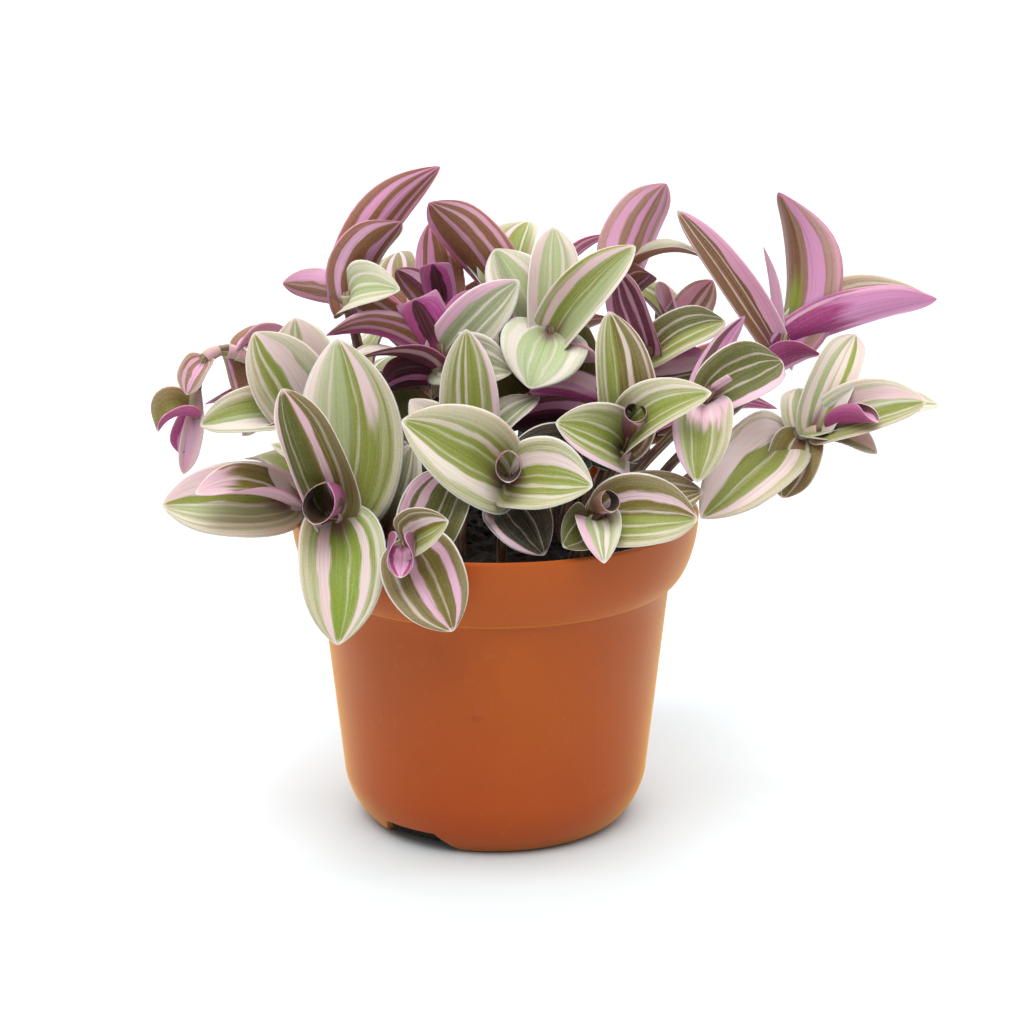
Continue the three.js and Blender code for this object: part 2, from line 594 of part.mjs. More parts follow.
function boxesMeet(a, b) {
  return [0, 1, 2].every((k) => a.min[k] <= b.max[k] && b.min[k] <= a.max[k]);
}

function meets(solid, others) {
  const box = solid.boundingBox();
  return others.some((other) => boxesMeet(box, other.box) && !solid.intersect(other.solid).isEmpty());
}

// A draw either way from nothing, within a whole width.
function stray(width) {
  return width * (draw() - 0.5);
}

// A shoot of the back, whose leaves stand out by turns to either side of a stem that leans outward.
function backShoot(number) {
  const bearing = rad(mix(BACK_FROM, BACK_TO, number / (BACK_SHOOTS - 1)) + stray(BACK_STRAY));
  const kind = number % BACK_REACH.length;
  const reach = BACK_REACH[kind] + stray(BACK_STRAY);
  const out = new THREE.Vector3(Math.cos(bearing), Math.sin(bearing), 0);
  const crown = out.clone().multiplyScalar(reach).setZ(BACK_TIP_HEIGHT[kind] + stray(BACK_STRAY));
  const root = out.clone().multiplyScalar(Math.min(ROOT_SHARE * reach, ROOT_LIMIT));
  const way = out.clone().multiplyScalar(reach / LEAN_REACH).setZ(LEAN_RISE).normalize();
  const side = way.clone().cross(new THREE.Vector3(0, 0, 1)).normalize();
  const leaves = [];
  for (let k = 0; k < BACK_LEAVES; k += 1) {
    const spin = rad(TURN_ON * k + stray(TURN_STRAY) + (k % 2) * TURN_ACROSS);
    const spread = rad(SPREAD + SPREAD_ON * k);
    const length = SHORTEST + LONGER_ON * k + LENGTH_STRAY * draw();
    const aside = side.clone().multiplyScalar(Math.cos(spin));
    aside.addScaledVector(side.clone().cross(way), Math.sin(spin));
    const tip = crown.clone().addScaledVector(way, length * Math.cos(spread) - TIP_BACK_ON * k);
    tip.addScaledVector(aside, length * Math.sin(spread));
    const face = way.clone().add(new THREE.Vector3(0, 0, FACE_RISE));
    const width = length * (WIDTH_SHARE + WIDTH_STRAY * draw());
    const back = FIRST_BACK + NEXT_BACK * k;
    leaves.push([back, tip.toArray(), width, BACK_ARCH, BACK_CURL, face.toArray()]);
  }
  const { back, width, arch, curl } = BACK_BUD;
  const budTip = crown.clone().addScaledVector(way, BACK_BUD_REACH);
  leaves.push([back, budTip.toArray(), width, arch, curl, side.toArray()]);
  return [`back_${number + 1}`, [root.x, root.y], crown.toArray(), way.toArray(), leaves];
}

const POT_COLOUR = '#ab5a2f';
const SOIL_COLOUR = '#1d1712';
const LEAF_COLOURS = ['#8fa25c', '#a3ad78', '#7f8a55', '#9c7f83', '#8b6d72'];
const POT_ROUGHNESS = 0.5;
const SOIL_ROUGHNESS = 1;
const LEAF_ROUGHNESS = 0.45;

function potMaterial() {
  return new THREE.MeshStandardMaterial({ color: POT_COLOUR, roughness: POT_ROUGHNESS, metalness: 0 });
}

function soilMaterial() {
  return new THREE.MeshStandardMaterial({ color: SOIL_COLOUR, roughness: SOIL_ROUGHNESS, metalness: 0 });
}

function leafMaterial(number) {
  const color = LEAF_COLOURS[number % LEAF_COLOURS.length];
  const side = THREE.DoubleSide;
  return new THREE.MeshStandardMaterial({ color, roughness: LEAF_ROUGHNESS, metalness: 0, side });
}

function addMesh(group, name, solid, material) {
  const mesh = new THREE.Mesh(geometryOf(solid), material);
  mesh.name = name;
  group.add(mesh);
}

// The first place for a leaf that is clear of every other shoot, and of its own if a near one is.
function findTip(base, leaf, others, own) {
  const clear = (tip) => !meets(makeLeaf(base, tip, leaf, LEAF_ROWS, CLEAR_THICKNESS, CLEAR_WIDTH), others);
  const apart = (tip) => !meets(makeLeaf(base, tip, leaf, OUTER_ROWS), own);
  const tips = leafTips(base, leaf);
  const near = isRolled(leaf) ? [] : tips.slice(0, OWN_TRIES);
  return near.find((tip) => apart(tip) && clear(tip)) ?? tips.find(clear);
}

// One shoot: its leaves are placed in turn and fused to its stem, and later shoots keep clear of them.
function makeShoot(stem, leaves, placed) {
  const others = placed.filter((piece) => piece.name !== stem.name);
  const own = [];
  let shoot = stem.solid;
  for (const leaf of leaves) {
    const axis = placeBack(stem.line, leaf[0]);
    const base = axis.clone().addScaledVector(vec(leaf[1]).sub(axis).normalize(), LEAF_SINK);
    const tip = findTip(base, leaf, others, own);
    if (tip !== undefined) {
      const solid = makeLeaf(base, tip, leaf, isRolled(leaf) ? BUD_ROWS : LEAF_ROWS);
      own.push(pieceOf(stem.name, makeLeaf(base, tip, leaf, OUTER_ROWS)));
      placed.push(pieceOf(stem.name, solid));
      shoot = shoot.add(solid);
    }
  }
  return largestBody(shoot);
}

function makePlant() {
  const group = new THREE.Group();
  const shoots = [...SHOOTS];
  for (let k = 0; k < BACK_SHOOTS; k += 1) shoots.push(backShoot(k));

  const pot = makePot();
  const soil = makeSoil(shoots.map(([, root]) => root));
  addMesh(group, 'pot', pot, potMaterial());
  addMesh(group, 'soil', soil, soilMaterial());

  const stems = shoots.map(([name, root, crown, way]) => {
    const line = stemLine(root, crown, way);
    return { ...pieceOf(name, makeStem(line)), line };
  });
  const placed = [pieceOf('pot', pot), pieceOf('soil', soil), ...stems];
  shoots.forEach(([name, , , , leaves], number) => {
    const shoot = makeShoot(stems[number], leaves, placed);
    addMesh(group, `shoot_${name}`, shoot, leafMaterial(number));
  });
  return group;
}

export default makePlant();
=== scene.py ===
import math
import bpy
import bmesh
import numpy as np
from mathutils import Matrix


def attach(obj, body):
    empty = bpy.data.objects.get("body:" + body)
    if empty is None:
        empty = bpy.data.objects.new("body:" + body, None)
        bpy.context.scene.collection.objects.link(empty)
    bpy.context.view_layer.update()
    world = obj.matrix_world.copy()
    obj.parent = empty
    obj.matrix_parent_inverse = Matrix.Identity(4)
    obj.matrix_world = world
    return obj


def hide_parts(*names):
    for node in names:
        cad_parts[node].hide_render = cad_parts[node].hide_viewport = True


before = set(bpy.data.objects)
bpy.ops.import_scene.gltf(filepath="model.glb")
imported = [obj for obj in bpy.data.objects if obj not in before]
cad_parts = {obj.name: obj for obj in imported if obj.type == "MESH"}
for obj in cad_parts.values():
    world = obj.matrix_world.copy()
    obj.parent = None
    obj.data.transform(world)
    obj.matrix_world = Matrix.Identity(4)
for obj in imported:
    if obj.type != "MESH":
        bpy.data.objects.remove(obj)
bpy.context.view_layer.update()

MM = 0.001  # sizes and places are in millimetres, and MM makes them metres
RIM_RADIUS = 60
POT_HEIGHT = 94
RIM_BAND_HEIGHT = 21
NECK_RADIUS = 51.7
RIM_ROUNDNESS = 1.8
BODY_FOOT_RADIUS = 45.4
FOOT_HEIGHT = 15.6
FOOT_INSET = 9.7
FOOT_ROUNDNESS = 1.6
WALL = 1.4
LIP = 0.7
LEDGE_RISE = 0.5
POT_SEGMENTS = 160
FOOT_STEPS = 14
BODY_STEPS = 8
RIM_STEPS = 22
CHANNEL_ANGLES = (-36, 144)
CHANNEL_HEIGHT = 6.5
CHANNEL_TOP_HALF = 8.5
CHANNEL_FOOT_HALF = 13.5
CHANNEL_ENDS = (11, 50)
DRAIN_RADIUS = 3
DRAIN_PLACES = (18, 28)
DRAIN_SEGMENTS = 32
OVERRUN = 5
CHANNEL_EDGE = 0.45
EDGE_FROM_ANGLE = 50
POT_SHARP_ANGLE = 38


def rim_radius(z):
    down = (POT_HEIGHT - z) / RIM_BAND_HEIGHT
    bulge = (1 - down ** RIM_ROUNDNESS) ** (1 / RIM_ROUNDNESS)
    return NECK_RADIUS + (RIM_RADIUS - NECK_RADIUS) * bulge


def pot_outline(inset, top):
    outline = [(0, inset)]
    for step in range(FOOT_STEPS + 1):
        turn = math.pi / 2 * (1 - step / FOOT_STEPS)
        across = max(math.cos(turn), 0)
        down = math.sin(turn)
        radius = BODY_FOOT_RADIUS - FOOT_INSET * (1 - across ** (2 / FOOT_ROUNDNESS))
        height = FOOT_HEIGHT * (1 - down ** (2 / FOOT_ROUNDNESS))
        outline.append((radius - inset * across, height + inset * down))
    neck = (NECK_RADIUS - inset, POT_HEIGHT - RIM_BAND_HEIGHT + inset * LEDGE_RISE)
    foot = outline[-1]
    for step in range(1, BODY_STEPS + 1):
        share = step / BODY_STEPS
        outline.append(tuple(low + (high - low) * share for low, high in zip(foot, neck)))
    for step in range(1, RIM_STEPS + 1):
        down = 1 - (1 - math.cos(math.pi * step / RIM_STEPS)) / 2 * (1 - LIP / RIM_BAND_HEIGHT)
        z = POT_HEIGHT - RIM_BAND_HEIGHT * down
        outline.append((rim_radius(z) - inset, min(z + inset * LEDGE_RISE * down, top)))
    return outline


def turned(name, outline, segments):
    """A closed body turned about Z, from an outline that starts and ends on the axis."""
    mesh = bmesh.new()
    rings = []
    for radius, z in outline:
        if radius < 1e-6:
            rings.append([mesh.verts.new((0, 0, z * MM))])
            continue
        angles = [2 * math.pi * k / segments for k in range(segments)]
        rings.append([mesh.verts.new((radius * math.cos(a) * MM, radius * math.sin(a) * MM, z * MM))
                      for a in angles])
    for low, high in zip(rings, rings[1:]):
        for k in range(segments):
            after = (k + 1) % segments
            corners = (low[k % len(low)], low[after % len(low)],
                       high[after % len(high)], high[k % len(high)])
            mesh.faces.new(once_each(corners))
    bmesh.ops.recalc_face_normals(mesh, faces=mesh.faces)
    return finished(name, mesh)


def once_each(corners):
    """A face's corners without those named twice, where it closes on a single point."""
    return tuple(corner for i, corner in enumerate(corners) if corner not in corners[:i])


def finished(name, mesh):
    data = bpy.data.meshes.new(name)
    mesh.to_mesh(data)
    mesh.free()
    piece = bpy.data.objects.new(name, data)
    bpy.context.scene.collection.objects.link(piece)
    return piece


def channel(angle, grow):
    """A slope-sided groove from near the axis out through the foot."""
    mesh = bmesh.new()
    foot = CHANNEL_FOOT_HALF + grow
    top = CHANNEL_TOP_HALF + grow
    high = CHANNEL_HEIGHT + grow
    profile = [(-foot, -OVERRUN), (foot, -OVERRUN), (foot, 0), (top, high), (-top, high), (-foot, 0)]
    turn = math.radians(angle)
    ends = []
    for place in (CHANNEL_ENDS[0] - grow, CHANNEL_ENDS[1]):
        ring = []
        for across, z in profile:
            x = across * math.cos(turn) + place * math.sin(turn)
            y = across * math.sin(turn) - place * math.cos(turn)
            ring.append(mesh.verts.new((x * MM, y * MM, z * MM)))
        ends.append(ring)
    mesh.faces.new(ends[0])
    mesh.faces.new(ends[1])
    for k in range(len(profile)):
        after = (k + 1) % len(profile)
        mesh.faces.new((ends[0][k], ends[0][after], ends[1][after], ends[1][k]))
    bmesh.ops.recalc_face_normals(mesh, faces=mesh.faces)
    return finished("channel_cutter", mesh)


def drain(angle, place):
    turn = math.radians(angle)
    mesh = bmesh.new()
    bmesh.ops.create_cone(mesh, cap_ends=True, segments=DRAIN_SEGMENTS, radius1=DRAIN_RADIUS * MM,
                          radius2=DRAIN_RADIUS * MM, depth=2 * CHANNEL_HEIGHT * MM)
    reach = (place * math.sin(turn) * MM, -place * math.cos(turn) * MM, CHANNEL_HEIGHT * MM)
    bmesh.ops.translate(mesh, verts=mesh.verts, vec=reach)
    return finished("drain_cutter", mesh)


def cut_out(piece, cutters):
    """Cuts each cutter out of the piece, and takes the cutters away."""
    for cutter in cutters:
        cut = piece.modifiers.new("cut", "BOOLEAN")
        cut.operation = "DIFFERENCE"
        cut.solver = "EXACT"
        cut.object = cutter
    settle(piece)
    for cutter in cutters:
        bpy.data.objects.remove(cutter)


def settle(piece):
    """Turns the piece's modifiers into its own mesh."""
    bpy.context.view_layer.update()
    shape = piece.evaluated_get(bpy.context.evaluated_depsgraph_get())
    data = bpy.data.meshes.new_from_object(shape)
    piece.modifiers.clear()
    piece.data = data


def smooth(piece, sharp_angle):
    piece.data.shade_smooth()
    piece.data.set_sharp_from_angle(angle=math.radians(sharp_angle))


def shade(red, green, blue):
    """A colour given as 0 to 255 a channel, as a painter reads it, made linear for the shader."""
    linear = [((c / 255 + 0.055) / 1.055) ** 2.4 for c in (red, green, blue)]
    return (*linear, 1)


def feed(tree, node, inputs):
    """Gives a node its inputs; each is a number, a colour or another node's output."""
    for key, value in inputs.items():
        if isinstance(value, bpy.types.NodeSocket):
            tree.links.new(value, node.inputs[key])
        else:
            node.inputs[key].default_value = value


def put(tree, kind, inputs, **settings):
    node = tree.nodes.new("ShaderNode" + kind)
    for key, value in settings.items():
        setattr(node, key, value)
    feed(tree, node, inputs)
    return node


def reckon(tree, operation, *values):
    return put(tree, "Math", dict(enumerate(values)), operation=operation).outputs[0]


def eased(tree, value, low, high, start=0, end=1):
    """The value's way from low to high, eased, as a number from start to end."""
    limits = {0: value, 1: low, 2: high, 3: start, 4: end}
    return put(tree, "MapRange", limits, interpolation_type="SMOOTHSTEP").outputs[0]


def mixed(tree, share, first, second):
    return put(tree, "Mix", {0: share, 6: first, 7: second}, data_type="RGBA").outputs[2]


def cloud(tree, places, scale, detail=3, roughness=0.5):
    inputs = {"Vector": places, "Scale": scale, "Detail": detail, "Roughness": roughness}
    return put(tree, "TexNoise", inputs).outputs[0]


def stretched(tree, places, x, y, z):
    return put(tree, "VectorMath", {0: places, 1: (x, y, z)}, operation="MULTIPLY").outputs[0]


def new_finish(name):
    """A material with its shader; returns the material, its tree and the shader."""
    material = bpy.data.materials.new(name)
    material.use_nodes = True
    tree = material.node_tree
    shader = next(node for node in tree.nodes if node.type == "BSDF_PRINCIPLED")
    return material, tree, shader


def raised(tree, height, distance, strength):
    """The normals of a fine relief."""
    return put(tree, "Bump", {"Height": height, "Distance": distance, "Strength": strength}).outputs[0]


POT_UPPER = shade(166, 74, 14)
# The lower colour is painted shade: the pot's own colour made darker and deeper, as where less light reaches
# near the foot.
POT_LOWER_SHADED = shade(162, 62, 5)
POT_PATCH = shade(174, 84, 24)
POT_FLOW_LINE = shade(140, 62, 28)
POT_SCUFF = shade(132, 54, 24)
POT_DUST = shade(196, 130, 84)
POT_SHEEN = shade(255, 204, 104)


def pot_plastic():
    """Satin moulded plastic, darker and deeper towards the foot by painted shade, with flow lines, scuffs
    and a little dust.
    """
    material, tree, shader = new_finish("terracotta_plastic")
    places = put(tree, "TexCoord", {}).outputs["Object"]
    height = put(tree, "SeparateXYZ", {0: places}).outputs[2]
    # Painted shade: the body darkens from the upper colour to the lower one towards the foot.
    body = mixed(tree, eased(tree, height, 0.004, 0.06), POT_LOWER_SHADED, POT_UPPER)
    patches = cloud(tree, places, 26, 4)
    body = mixed(tree, eased(tree, patches, 0.35, 0.75, 0, 0.3), body, POT_PATCH)
    flow = cloud(tree, stretched(tree, places, 900, 900, 60), 1, 2)
    body = mixed(tree, eased(tree, flow, 0.45, 0.8, 0, 0.12), body, POT_FLOW_LINE)
    scuffs = cloud(tree, stretched(tree, places, 55, 55, 90), 1, 5, 0.6)
    body = mixed(tree, eased(tree, scuffs, 0.68, 0.74, 0, 0.35), body, POT_SCUFF)
    dust = cloud(tree, places, 380, 3)
    body = mixed(tree, eased(tree, dust, 0.62, 0.8, 0, 0.12), body, POT_DUST)
    grain = cloud(tree, places, 1500, 2)
    ripple = cloud(tree, stretched(tree, places, 60, 60, 240), 1, 2)
    feed(tree, shader, {
        "Base Color": body,
        "Roughness": eased(tree, patches, 0.3, 0.7, 0.4, 0.52),
        "Specular IOR Level": 0.24,
        "Sheen Weight": 0.75,
        "Sheen Roughness": 0.35,
        "Sheen Tint": POT_SHEEN,
        "Normal": raised(tree, reckon(tree, "ADD", grain, ripple), 0.0002, 0.18)})
    return material


pot = turned("nursery_pot", [
    *pot_outline(0, POT_HEIGHT), (RIM_RADIUS - 0.35 * LIP, POT_HEIGHT - 0.25 * LIP),
    (RIM_RADIUS - LIP, POT_HEIGHT), (RIM_RADIUS - WALL + 0.2 * LIP, POT_HEIGHT),
    (0, POT_HEIGHT)], POT_SEGMENTS)
hollow = turned("hollow_cutter", [
    *pot_outline(WALL, POT_HEIGHT - LIP), (RIM_RADIUS - WALL, POT_HEIGHT - 0.2 * LIP),
    (RIM_RADIUS - WALL, POT_HEIGHT + OVERRUN), (0, POT_HEIGHT + OVERRUN)], POT_SEGMENTS)
cut_out(hollow, [channel(angle, WALL) for angle in CHANNEL_ANGLES])
drains = [drain(angle, place) for angle in CHANNEL_ANGLES for place in DRAIN_PLACES]
cut_out(pot, [hollow, *(channel(angle, 0) for angle in CHANNEL_ANGLES), *drains])
edge = pot.modifiers.new("edge", "BEVEL")
edge.width = CHANNEL_EDGE * MM
edge.segments = 2
edge.limit_method = "ANGLE"
edge.angle_limit = math.radians(EDGE_FROM_ANGLE)
settle(pot)
smooth(pot, POT_SHARP_ANGLE)
pot.data.materials.append(pot_plastic())
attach(pot, "root")
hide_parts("pot")

# Soil: peat and bark that fills the pot to a little under the lip, its near-black partly its own colour
# and partly painted shade from the leaves above. It is one body with a crumbly top, and loose crumbs and
# bark chips that lie on it.
from mathutils import noise, Vector

SOIL_TOP = 84
SOIL_GAP = 0.3
SOIL_LUMP = 0.9
SOIL_RINGS = 70
SOIL_SEGMENTS = 150
SOIL_ROUGHNESS = 1.5
SOIL_SHARP_ANGLE = 60
CRUMBS = 620
CRUMB_SIZES = (0.5, 1.7)
CRUMB_FORM = (1, 0.9, 0.8)
CRUMB_ROUGHNESS = 0.5
CRUMB_LEAN = 0.5
CRUMB_RISE = 0.15
CRUMB_MARGIN = 2
CHIP_SHARE = 0.2
CHIP_FORM = (2.2, 1.1, 0.35)
CRUMB_SEED = 7


def soil_height(x, y):
    lumps = math.sin(x * 0.31 + 1.2) * math.cos(y * 0.27) + 0.6 * math.sin(x * 0.13 - y * 0.36)
    grain = noise.fractal(Vector((x * 0.22, y * 0.22, 3.1)), 0.9, 2.1, 5)
    return SOIL_TOP + SOIL_LUMP * lumps + SOIL_ROUGHNESS * grain


def soil_body():
    inset = WALL + SOIL_GAP
    side = [p for p in pot_outline(inset, POT_HEIGHT) if p[1] < SOIL_TOP - 3]
    brim = rim_radius(SOIL_TOP) - inset
    rings = [(brim * (1 - k / SOIL_RINGS), SOIL_TOP) for k in range(SOIL_RINGS + 1)]
    body = turned("soil_fill", [*side, *rings], SOIL_SEGMENTS)
    for vertex in body.data.vertices:
        x, y, z = (c / MM for c in vertex.co)
        if z > SOIL_TOP - 1:
            vertex.co.z = soil_height(x, y) * MM
    return body


def soil_crumbs():
    """Irregular crumbs, a few of them long flat bark chips, part sunk in the top."""
    draws = np.random.default_rng(CRUMB_SEED)
    mesh = bmesh.new()
    brim = rim_radius(SOIL_TOP) - WALL - CRUMB_MARGIN
    for _ in range(CRUMBS):
        reach = brim * math.sqrt(draws.random())
        bearing = 2 * math.pi * draws.random()
        x, y = reach * math.cos(bearing), reach * math.sin(bearing)
        size = CRUMB_SIZES[0] + (CRUMB_SIZES[1] - CRUMB_SIZES[0]) * draws.random() ** 2
        form = CHIP_FORM if draws.random() < CHIP_SHARE else CRUMB_FORM
        stretch = np.array(form) * size
        spin = 2 * math.pi * draws.random()
        lean = CRUMB_LEAN * draws.random()
        made = bmesh.ops.create_icosphere(mesh, subdivisions=1, radius=1)["verts"]
        centre = Vector((x, y, soil_height(x, y) + CRUMB_RISE * size))
        for vertex in made:
            rough = 1 + CRUMB_ROUGHNESS * (draws.random() - 0.5)
            px, py, pz = (c * s * rough for c, s in zip(vertex.co, stretch))
            pz += lean * px
            turned_x = px * math.cos(spin) - py * math.sin(spin)
            turned_y = px * math.sin(spin) + py * math.cos(spin)
            vertex.co = (centre + Vector((turned_x, turned_y, pz))) * MM
    return finished("soil_crumbs", mesh)


# The darkest peat colour is made darker still: painted shade from the leaves that cover the soil.
PEAT_DARK_AND_SHADE = shade(14, 11, 8)
PEAT_BROWN = shade(42, 31, 22)
PEAT_FIBRE = shade(74, 54, 38)


def peat():
    """Moist peat with browner fibres, near-black partly by its own colour and partly by painted shade."""
    material, tree, shader = new_finish("peat")
    places = put(tree, "TexCoord", {}).outputs["Object"]
    grain = cloud(tree, places, 420, 5, 0.65)
    colour = mixed(tree, eased(tree, grain, 0.35, 0.7), PEAT_DARK_AND_SHADE, PEAT_BROWN)
    fibre = cloud(tree, stretched(tree, places, 1400, 260, 500), 1, 3)
    colour = mixed(tree, eased(tree, fibre, 0.62, 0.72, 0, 0.5), colour, PEAT_FIBRE)
    feed(tree, shader, {"Base Color": colour, "Roughness": 0.92, "Specular IOR Level": 0.2,
                        "Normal": raised(tree, grain, 0.0006, 0.8)})
    return material


soil = soil_body()
crumbs = soil_crumbs()
soil.data.materials.append(peat())
crumbs.data.materials.append(soil.data.materials[0])
smooth(soil, SOIL_SHARP_ANGLE)
for piece in (soil, crumbs):
    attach(piece, "root")
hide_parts("soil")

# Leafy shoots: each is a fleshy stem that stands in the soil, with leaves whose sheaths clasp it by
# turns. A shoot grew as one, so stem, sheaths, leaves and hairs are one piece, in the solid's place.
STEM_STEPS = 24
STEM_EASE = 0.35
STEM_RADIUS = 1.5
STEM_TIP_SHARE = 0.75
STEM_FULL_FROM = 12
STEM_SIDES = 12
NODE_SWELL = 0.3
SWELL_REACH = 1.8
ROOT_DEPTH = 8
STRAIGHT_ABOVE_SOIL = 2
LEAF_SINK = 0.8
LEAF_FOLD = 9
LEAF_BASE_HALF = 0.9
BASE_ROUNDNESS = 0.5
TIP_ROUNDNESS = 0.62
BASE_LOBE = 0.13
TIP_DRAW = 0.4
LEAF_ROWS = 25
LEAF_COLUMNS = 19
ROLLED_COLUMNS = 31
ROLLED_FROM = 100
LEAF_HALF_THICK = 0.3
MARGIN_THINNING = 0.55
TIP_THINNING = 8
TIP_THICK = 0.25
LAST_ROW = 0.999
PLEAT = 0.12
PLEATS = 3
MARGIN_WAVE = 0.022
MARGIN_WAVES = 1.6
WAVE_SHIFT = 0.23
WAVE_INWARD = 2.5
SHEATH_LENGTH = 5.5
SHEATH_SHARES = (1, 0.7, 0.35, 0.1, 0)
SHEATH_FLARE = (-0.1, 0.3, 0.5, 0.62, 0.5)
SHEATH_SIDES = 14
SHEATH_HAIRS = 16
HAIR_LENGTH = 1.3
HAIR_THICK = 0.05
GIVE_WAY_STEP = 3
STEPS_ASIDE = 2
STEPS_BACK = 4
VIEW_SLOPE = 0.27
SHORTER_SHARE = 0.8
TIP_MISS = 0.01

# Leaf colours: those that a leaf's half can have, then those of bands, margin and the painted shade
# inside a rolled leaf. A leaf gets that painted shade inside when it is rolled by more than DARK_ROLL_FROM
# degrees.
LEAF_COLOURS = {
    "green": shade(132, 142, 60),
    "fresh": shade(126, 146, 48),
    "pale": shade(160, 172, 122),
    "grey": shade(142, 150, 112),
    "mint": shade(172, 186, 138),
    "dark": shade(88, 92, 30),
    # A near-black green for leaves deep inside the plant: painted shade, as these leaves lie where shade
    # falls.
    "deep": shade(44, 42, 16),
    "olive": shade(112, 100, 36),
    "brown": shade(112, 76, 44),
    "taupe": shade(150, 116, 94),
    "cream": shade(220, 206, 192),
    "blush": shade(208, 172, 184),
    "mauve": shade(130, 86, 54),
    "lilac": shade(192, 124, 166),
    # Painted light: a brighter magenta for undersides that face down into shade, painted as if lit through.
    "orchid": shade(188, 76, 154),
    "magenta": shade(158, 58, 118),
    "purple": shade(84, 34, 62),
    "plum": shade(116, 58, 80),
}
BAND_CREAM = shade(222, 211, 200)
BAND_PINK = shade(218, 166, 196)
# The dark bands' colour, from which the painted shade on a leaf is also mixed.
DARK_BAND_AND_SHADE = shade(70, 40, 28)
BAND_GREEN = shade(132, 148, 50)
UNDER_CREAM = shade(218, 188, 196)
UNDER_PINK = shade(202, 144, 186)
LEAF_EDGE = shade(238, 230, 222)
# Painted shade inside a rolled leaf, in the hollow of the roll.
ROLL_SHADE = shade(52, 34, 16)
DARK_ROLL_FROM = 155

